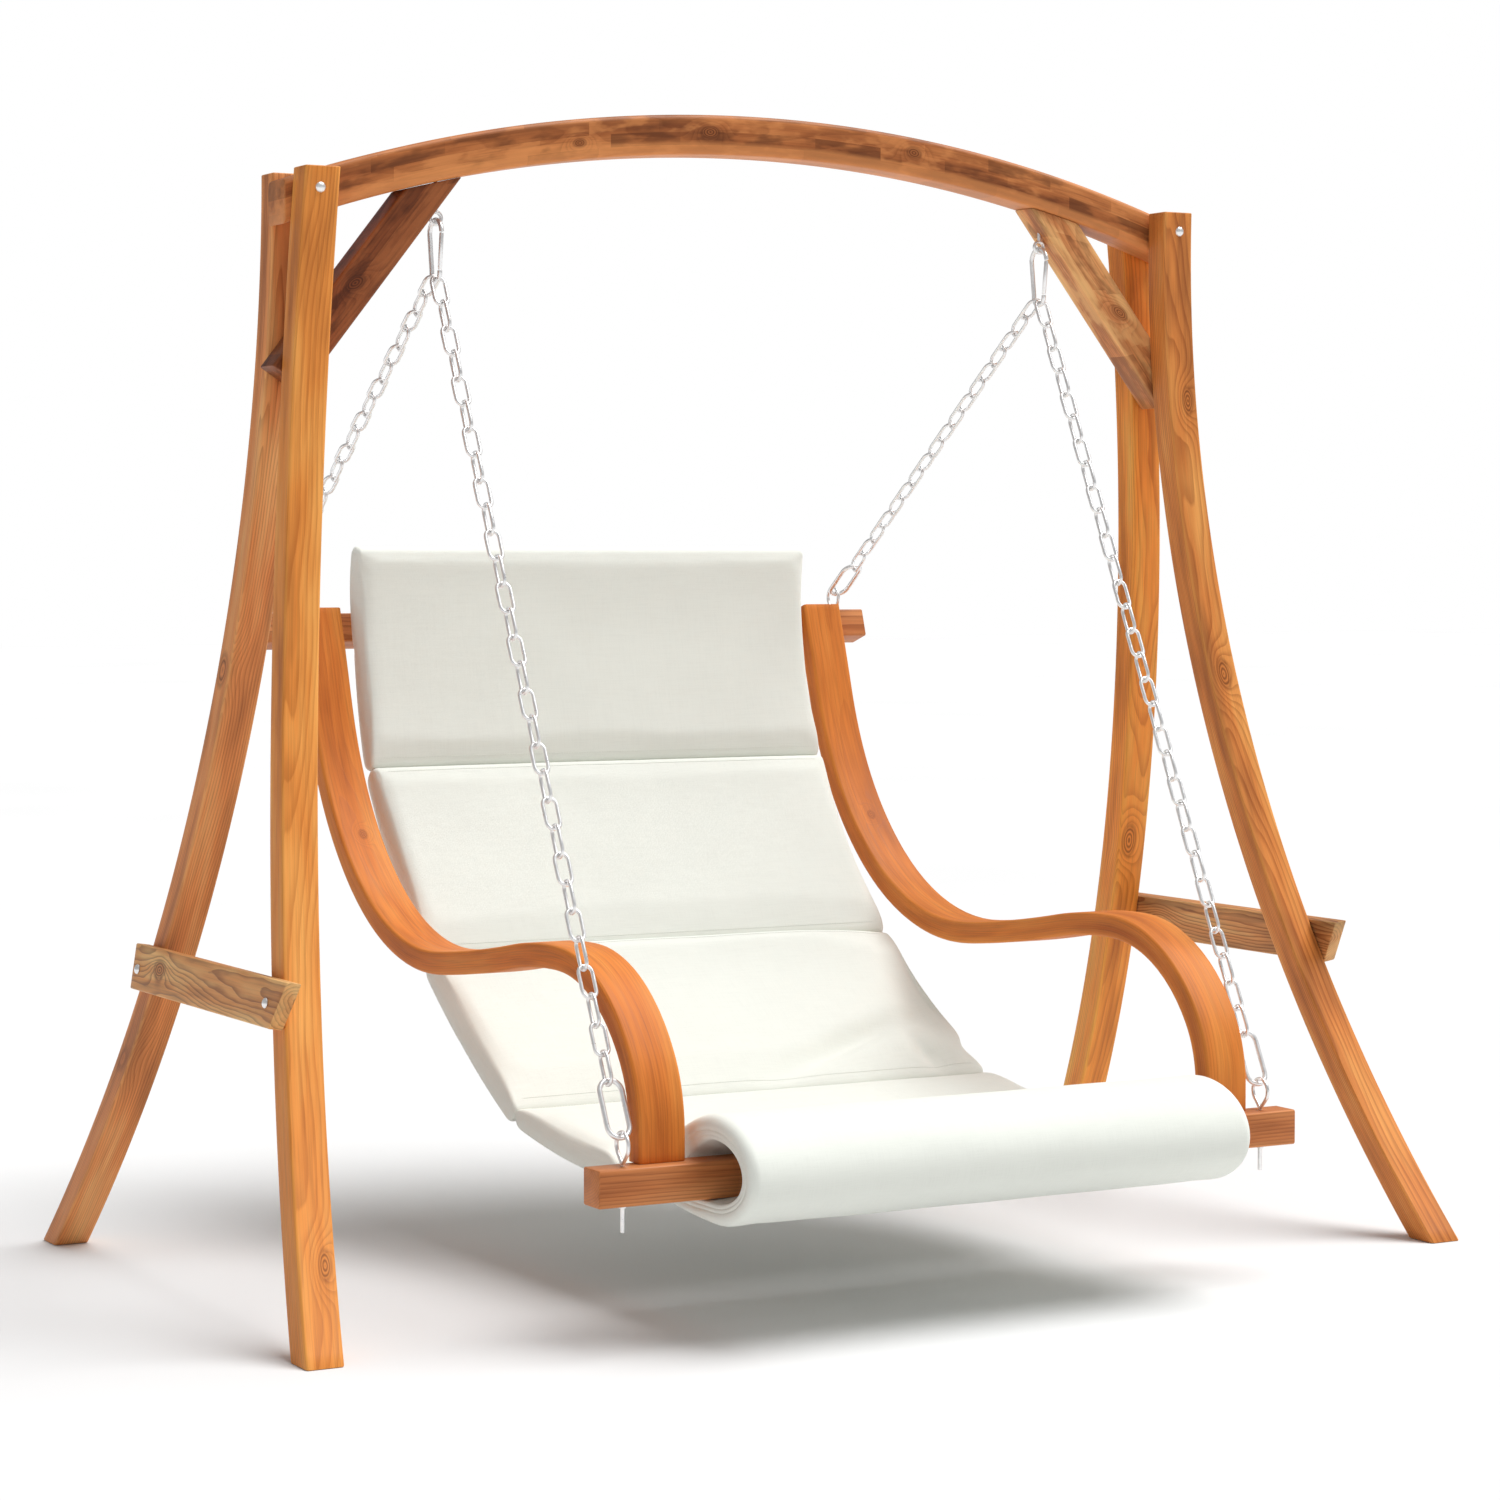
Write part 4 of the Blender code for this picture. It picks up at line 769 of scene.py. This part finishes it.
def ease(e, r):
    k = min(max(e / r, 0.0), 1.0)
    return math.sqrt(1.0 - (1.0 - k) ** 2)


pads = []


FOLDS = {}          # creases pressed into a pad once it has been filled


def cushion(name, node, p, q, sag, thick, crown, seed, top=0.020, bottom=0.045, lift=0.0, corner=0.0,
            back_top=0.024, dents=(), pinch=0.0):
    """One padded panel as a closed crowned form: rings run round the panel from seam to seam.
    top and bottom are how far the front is eased in from each seam, lift is extra fullness
    just below the upper seam and corner how much longer that easing runs at the side edges."""
    N, MX = 44, 72
    _, nrm0, L = sag_line(p, q, sag, N)
    p, q = np.array(p), np.array(q)
    verts, weave, pin, fold = [], [], [], []
    for i in range(N + 1):
        s = 0.5 - 0.5 * math.cos(math.pi * i / N) * (0.75 + 0.25 * math.cos(math.pi * i / N) ** 2)
        e = min(s, 1 - s) * L
        mid = p + (q - p) * s + nrm0 * sag * 4 * s * (1 - s)
        tn = (q - p) + nrm0 * sag * 4 * (1 - 2 * s)
        tn = tn / np.linalg.norm(tn)
        nr = np.array([-tn[1], tn[0]])
        half = SLING_HALF_X - 0.0015 * math.sin(math.pi * s) - 0.0060 * (1.0 - ease(e, 0.014))
        t = 0.0030 + (0.5 * thick - 0.0030) * ease(e, back_top if s < 0.5 else 0.024)
        front = 0.0030 + (0.5 * thick - 0.0030) * ease(e, top if s < 0.5 else bottom)
        r = min(0.0075, 0.85 * t)
        ring = []
        xs = [-half + r + 2 * (half - r) * j / MX for j in range(MX + 1)]
        for x in xs:
            ring.append((x, t, 1))
        for j in range(1, 5):
            a = math.radians(90 - 90 * j / 4)
            ring.append((half - r + r * math.cos(a), t - r + r * math.sin(a), 0))
        for j in range(1, 4):
            ring.append((half + 0.0012 * math.sin(math.pi * j / 4), (t - r) * (1 - 2 * j / 4), 0))
        for j in range(0, 4):
            a = math.radians(-90 * j / 4)
            ring.append((half - r + r * math.cos(a), -(t - r) + r * math.sin(a), 0))
        for x in reversed(xs):
            ring.append((x, -t, -1))
        for j in range(1, 5):
            a = math.radians(270 - 90 * j / 4)
            ring.append((-half + r + r * math.cos(a), -(t - r) + r * math.sin(a), 0))
        for j in range(1, 4):
            ring.append((-half - 0.0012 * math.sin(math.pi * j / 4), -(t - r) * (1 - 2 * j / 4), 0))
        for j in range(0, 4):
            a = math.radians(180 - 90 * j / 4)
            ring.append((-half + r + r * math.cos(a), t - r + r * math.sin(a), 0))
        for x, h, face in ring:
            f = max(0.0, 1 - (x / half) ** 2)
            up_ = crown * f * math.sin(math.pi * s) if face > 0 else 0.35 * crown * f * math.sin(math.pi * s)
            wr = noise.noise(Vector((x * 7 + seed, s * L * 9, seed * 2.0))) * 0.0013
            pk = noise.noise(Vector((x * 46 + seed, seed, face))) * 0.0011 * math.exp(-e / 0.020) * ease(e, 0.008)
            dn = 0.0
            if face > 0:
                for dx, dsn, rx, rs, ang, depth in dents:
                    a = math.radians(ang)
                    ux, us = x - dx, (s - dsn) * L
                    vx, vs = ux * math.cos(a) + us * math.sin(a), -ux * math.sin(a) + us * math.cos(a)
                    dn -= depth * math.exp(-(vx / rx) ** 2 - (vs / rs) ** 2)
            k = (up_ + wr + pk) * (1 if h >= 0 else -1) * (1.0 if face else 0.0)
            k *= ease(e, 0.03)
            if face > 0 or h > 0:
                # the front is eased in more gently than the back
                k += (front - t) * h / t
                if s < 0.5:
                    k += lift * max(0.0, 1 - (x / half) ** 4) * ease(e, 0.010) * math.exp(-(e / 0.070) ** 2)
                    wide = 0.0030 + (0.5 * thick - 0.0030) * ease(e, top + corner * min(1.0, abs(x / half)) ** 8)
                    k += (wide - front) * h / t
            c = mid - nr * (h + k)
            verts.append((x, c[0], c[1]))
            dn *= ease(e, 0.03)
            # the slack right edge is drawn in a little above the lower seam
            px = -pinch * math.exp(-((s - 0.86) / 0.075) ** 2) * max(0.0, x / half) ** 10
            fold.append((px, -nr[0] * dn, -nr[1] * dn))
            weave.append((x, s * L, h))
            pin.append(1.0 if e < 0.012 else 0.0)
    n = len(ring)
    faces = []
    for i in range(N):
        for j in range(n):
            j2 = (j + 1) % n
            faces.append((i * n + j, i * n + j2, (i + 1) * n + j2, (i + 1) * n + j))
    # close the thin sewn edges with a strip between front and back
    back0 = MX + 1 + 4 + 3 + 4
    for i in (0, N):
        fr = [i * n + j for j in range(MX + 1)]
        bk = [i * n + back0 + MX - j for j in range(MX + 1)]
        for j in range(MX):
            faces.append((fr[j], fr[j + 1], bk[j + 1], bk[j]))
        faces.append((fr[MX], *[i * n + MX + 1 + k for k in range(11)], bk[MX]))
        faces.append((bk[0], *[i * n + back0 + MX + 1 + k for k in range(11)], fr[0]))
    ob = place(name, verts, faces, FABRIC, "seat", [node], "sling_fabric", smooth=None, weave=weave)
    if dents:
        FOLDS[ob.name] = np.array(fold)
    vg = ob.vertex_groups.new(name="pin")
    vg.add([k for k, v in enumerate(pin) if v > 0], 1.0, "REPLACE")
    pads.append((ob, 0.0060))
    return ob


upper = cushion("sling_back_upper_pad", "sling_back_upper", SEAM_TOP, SEAM_1, SAG_UPPER, PAD_UPPER - 0.010, 0.004, 1,
                top=0.012, bottom=0.050, back_top=0.110)
middle = cushion("sling_back_middle_pad", "sling_back_middle", SEAM_1, SEAM_2, SAG_MIDDLE, PAD_MIDDLE - 0.008, 0.006, 2,
                 top=0.018, bottom=0.050, lift=0.003)
# the lower panel's right side is creased: a wedge falls away from the pillow, and a fold
# runs from it down towards the middle, with a loose flap under it
lower = cushion("sling_back_lower_pad", "sling_back_lower", SEAM_2, SEAM_3, SAG_LOWER, PAD_LOWER - 0.007, 0.006, 3,
                top=0.012, bottom=0.095, lift=0.010, corner=0.055,
                dents=((0.402, 0.52, 0.034, 0.105, 14, 0.020), (0.220, 0.755, 0.150, 0.022, -23, 0.028),
                       (0.350, 0.83, 0.016, 0.042, 0, 0.017), (0.400, 0.88, 0.026, 0.034, 0, -0.007)), pinch=0.016)
seat_pad = cushion("sling_seat_pad", "sling_seat", SEAM_3, SEAM_4, SAG_SEAT, PAD_SEAT - 0.005, 0.003, 4,
                   top=0.100, bottom=0.040)


def front_sleeve():
    """Padded sleeve round the front bar: a section of layered fabric swept round the loop."""
    tail_z = SEAM_4[1] - ROLL_Z
    n = 26

    def loop(a, b, bl, T, zu, zl_):
        pts = [(T * (1 - i / n), zu + (b - zu) * (1 - math.cos(math.pi * i / n)) / 2) for i in range(n)]
        pts += [(-a * math.sin(math.pi * i / (2 * n)), (b if i < n else bl) * math.cos(math.pi * i / (2 * n)))
                for i in range(2 * n)]
        pts += [(T * i / n, -bl + (zl_ + bl) * (1 - math.cos(math.pi * i / n)) / 2) for i in range(n + 1)]
        return [np.array((ROLL_Y + y, ROLL_Z + z)) for y, z in pts]
    outer = loop(ROLL_A, ROLL_B, ROLL_B_LOW, ROLL_TAIL_Y - ROLL_Y, tail_z + 0.012, tail_z - 0.012)
    inner = loop(ROLL_IN_A, ROLL_IN_B, ROLL_IN_B, ROLL_IN_TAIL_Y - ROLL_Y, tail_z + 0.006, tail_z - 0.004)
    half, MX = SLEEVE_LEFT_X, 72
    verts, weave, rings = [], [], []
    run = 0.0
    for k, (po, pi_) in enumerate(zip(outer, inner)):
        if k:
            run += float(np.linalg.norm(po - outer[k - 1]))
        thick = float(np.linalg.norm(po - pi_))
        r = min(0.016, 0.45 * thick)
        sec = []
        xs = [-half + r + 2 * (half - r) * j / MX for j in range(MX + 1)]
        sec += [(x, 0.0) for x in xs]
        # the end face: eased outer edge, two sewn grooves, eased liner edge
        ends = []
        for j in range(1, 6):
            a = math.radians(90 * j / 6)
            ends.append((half - r + r * math.sin(a), (r - r * math.cos(a)) / thick))
        fr = r / thick
        for f, inset in ((fr, 0.0), (fr + (1 - fr) * 0.22, 0.0010), (fr + (1 - fr) * 0.27, 0.0032),
                         (fr + (1 - fr) * 0.32, 0.0012), (fr + (1 - fr) * 0.56, 0.0014),
                         (fr + (1 - fr) * 0.61, 0.0036), (fr + (1 - fr) * 0.66, 0.0020),
                         (fr + (1 - fr) * 0.90, 0.0030), (0.985, 0.0050)):
            ends.append((half - inset, f))
        sec += ends
        sec += [(x * 0.988, 1.0) for x in reversed(xs)]
        sec += [(-x, f) for x, f in reversed(ends)]
        ring = []
        for x, f in sec:
            c = po * (1 - f) + pi_ * f
            e = (po - pi_) / max(thick, 1e-6)
            lump = 0.0
            if f == 0.0:
                lump = noise.noise(Vector((x * 6, run * 10, 3.3))) * 0.0012
            y, z = c + e * lump
            if x > 0:
                x *= SLEEVE_RIGHT_X / half
            ring.append((x, y, z))
            weave.append((x, run, f * thick))
        rings.append(ring)
        verts += ring
    faces = loft(rings, closed=True)
    ob = place("sling_front_sleeve_pad", verts, faces, FABRIC, "seat", ["sling_front_sleeve"], "sling_fabric",
               smooth=None, weave=weave)
    vg = ob.vertex_groups.new(name="pin")
    vg.add([i for i, v in enumerate(verts) if v[1] > -0.50 or v[0] < -SLEEVE_LEFT_X + 0.022 or v[0] > SLEEVE_RIGHT_X - 0.022], 1.0, "REPLACE")
    pads.append((ob, 0.0035))
    return ob


sleeve = front_sleeve()


def puff(items, frames=20):
    """Cloth pass: a little air pressure fills the panels; the movement of each point is capped."""
    rest = {}
    for ob, cap in items:
        rest[ob.name] = np.array([v.co for v in ob.data.vertices], float)
        m = ob.modifiers.new("cloth", "CLOTH")
        st = m.settings
        st.quality = 5
        st.mass = 0.25
        st.tension_stiffness = st.compression_stiffness = 22
        st.shear_stiffness = 12
        st.bending_stiffness = 1.2
        st.use_pressure = True
        st.uniform_pressure_force = 3.0
        st.vertex_group_mass = "pin"
        st.effector_weights.gravity = 0.0
        m.collision_settings.use_collision = False
        m.point_cache.frame_start, m.point_cache.frame_end = 1, frames
    for f in range(1, frames + 1):
        scene.frame_set(f)
    dg = bpy.context.evaluated_depsgraph_get()
    for ob, cap in items:
        e = ob.evaluated_get(dg)
        new = np.array([v.co for v in e.data.vertices], float)
        old = rest[ob.name]
        move = new - old
        size = np.linalg.norm(move, axis=1)
        move *= np.minimum(1.0, cap / np.maximum(size, 1e-9))[:, None]
        ob.modifiers.clear()
        ob.data.vertices.foreach_set("co", (old + move).ravel().astype(np.float32))
        ob.data.update()
    scene.frame_set(1)


puff(pads)
for ob, cap in pads:
    if ob.name in FOLDS:
        co = np.array([v.co for v in ob.data.vertices], float) + FOLDS[ob.name]
        ob.data.vertices.foreach_set("co", co.ravel().astype(np.float32))
        ob.data.update()
    ob.vertex_groups.clear()
    m = ob.modifiers.new("subdivision", "SUBSURF")
    m.levels = m.render_levels = 1

# rows of stitches beside the seams, laid on the finished cushions
THREAD = fabric_material("sling_thread", tuple(c * 0.90 for c in IVORY), yarn=0.0008)


def stitches(name, ob, p, q, sag, ends):
    line, nrm, L = sag_line(p, q, sag, 200)
    line = np.array(line)
    dg = bpy.context.evaluated_depsgraph_get()
    tree = BVHTree.FromObject(ob, dg)
    parts = []
    for s in ends:
        i = int(round(s * 200))
        c = line[i]
        x = -SLING_HALF_X + 0.022
        while x < SLING_HALF_X - 0.022:
            a = Vector((x + 0.0019, c[0] - nrm[0] * 0.09, c[1] - nrm[1] * 0.09))
            a.y += STAND_Y
            hit, nr, _, dist = tree.ray_cast(a, Vector((0, nrm[0], nrm[1])), 0.3)
            if hit is not None:
                h = Vector((hit.x, hit.y - STAND_Y, hit.z)) + nr * 0.0001
                path = [h + Vector((dx, 0, 0)) + nr * dz for dx, dz in
                        ((-0.0019, -0.0004), (-0.0012, 0.0002), (0.0, 0.0004), (0.0012, 0.0002), (0.0019, -0.0004))]
                parts.append(tube([tuple(v) for v in path], 0.00045, closed=False, side=(0, nr.z, -nr.y), n=5))
            x += 0.0050
    v, f = joined(parts)
    return place(name, v, f, THREAD, "seat", (), "sling_fabric", smooth=60, weave=[tuple(p) for p in v])


bpy.context.view_layer.update()
stitches("stitches_upper", upper, SEAM_TOP, SEAM_1, SAG_UPPER, (0.95,))
stitches("stitches_middle", middle, SEAM_1, SEAM_2, SAG_MIDDLE, (0.05, 0.95))
stitches("stitches_lower", lower, SEAM_2, SEAM_3, SAG_LOWER, (0.05, 0.95))
stitches("stitches_seat", seat_pad, SEAM_3, SEAM_4, SAG_SEAT, (0.05,))


def rear_loop():
    """Plain cloth tunnel round the rear bar, drawn to the back of the upper panel."""
    wall, room, corner = 0.0030, 0.0016, 0.0045
    hd_, hh_ = 0.5 * BAR_DEPTH + room, hb + room
    line, nrm, L = sag_line(SEAM_TOP, SEAM_1, SAG_UPPER, 10)
    att = line[4] + nrm * (0.5 * PAD_UPPER - 0.0010)
    att_h = float(np.dot(att - rear_c, -top_dir))
    o, i_ = [], []
    for cx, cz, a0 in ((1, -1, 270), (1, 1, 0), (-1, 1, 90), (-1, -1, 180)):
        if a0 == 180:
            for h in (att_h + 0.006, att_h - 0.006):
                o.append(att - top_dir * (h - att_h))
                i_.append(rear_c - top_nrm * hd_ - top_dir * h)
        for k in range(7):
            t = math.radians(a0 + 15 * k)
            for lst, r in ((i_, corner), (o, corner + wall)):
                lst.append(rear_c + top_nrm * (cx * (hd_ - corner) + r * math.cos(t))
                           - top_dir * (cz * (hh_ - corner) + r * math.sin(t)))
    pairs = []
    for (a, b), (c, d) in zip(zip(o, o[1:] + o[:1]), zip(i_, i_[1:] + i_[:1])):
        k = 5 if np.linalg.norm(np.array(b) - a) > 0.006 else 1
        for j in range(k):
            pairs.append((np.array(a) + (np.array(b) - a) * j / k, np.array(c) + (np.array(d) - c) * j / k))
    half = LOOP_HALF_X
    verts, weave, rings, run = [], [], [], 0.0
    for k, (po, pi_) in enumerate(pairs):
        if k:
            run += float(np.linalg.norm(po - pairs[k - 1][0]))
        ring = []
        M = 60
        for j in range(M + 1):
            x = -half + 2 * half * j / M
            e = noise.noise(Vector((x * 9, run * 14, 8.0))) * 0.0007
            nr = (po - pi_) / max(np.linalg.norm(po - pi_), 1e-6)
            y, z = po + nr * e
            ring.append((x, y, z))
            weave.append((x, run, 0.0))
        for j in range(M, -1, -1):
            x = -half + 2 * half * j / M
            ring.append((x, pi_[0], pi_[1]))
            weave.append((x, run, 0.003))
        rings.append(ring)
        verts += ring
    ob = place("sling_rear_loop_cloth", verts, loft(rings, closed=True), LINER, "seat", ["sling_rear_loop"],
               "sling_fabric", smooth=50, weave=weave)
    return ob


rear_loop()

# ---- what is left of the frame: nuts and screws -------------------------------------
for n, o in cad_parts.items():
    if not o.hide_render:
        me = o.data
        co = np.array([v.co for v in me.vertices], np.float32)
        me.attributes.new("place", "FLOAT_VECTOR", "POINT").data.foreach_set("vector", co.ravel())
        me.materials.clear()
        me.materials.append(ZINC)

# ---- floor and light -----------------------------------------------------------------
me = bpy.data.meshes.new("floor")
me.from_pydata([(-40, -40, 0), (40, -40, 0), (40, 40, 0), (-40, 40, 0)], [], [(0, 1, 2, 3)])
floor = bpy.data.objects.new("floor", me)
scene.collection.objects.link(floor)
floor.location.z = -0.0005
g = Nodes("floor")
n = g.noise(g.t.nodes.new("ShaderNodeTexCoord").outputs["Object"], 0.6, 3)
g.link(g.ramp(n, [(0.3, (0.76, 0.76, 0.76)), (0.7, (0.79, 0.79, 0.79))]), g.bsdf.inputs["Base Color"])
g.bsdf.inputs["Roughness"].default_value = 0.9
g.bsdf.inputs["Specular IOR Level"].default_value = 0.1
me.materials.append(g.mat)

# an even white studio: the backdrop shows white, the room gives a soft fill
world = bpy.data.worlds.new("world")
scene.world = world
world.use_nodes = True
wt = world.node_tree
room_light = wt.nodes["Background"]
room_light.inputs[0].default_value = (1.0, 1.0, 1.0, 1.0)
room_light.inputs[1].default_value = 0.35
backdrop = wt.nodes.new("ShaderNodeBackground")
backdrop.inputs[0].default_value = (1.0, 1.0, 1.0, 1.0)
backdrop.inputs[1].default_value = 1.0
which = wt.nodes.new("ShaderNodeMixShader")
wt.links.new(wt.nodes.new("ShaderNodeLightPath").outputs["Is Camera Ray"], which.inputs[0])
wt.links.new(room_light.outputs[0], which.inputs[1])
wt.links.new(backdrop.outputs[0], which.inputs[2])
wt.links.new(which.outputs[0], wt.nodes["World Output"].inputs["Surface"])

# one wide soft light from overhead, to the right and a little to the front
sun = bpy.data.lights.new("overhead", "SUN")
sun.energy = 3.45
sun.angle = math.radians(48)
o = bpy.data.objects.new("overhead", sun)
scene.collection.objects.link(o)
o.rotation_euler = Vector((-0.48, 0.14, -1.0)).to_track_quat("-Z", "Y").to_euler()
scene.view_settings.view_transform = "Standard"
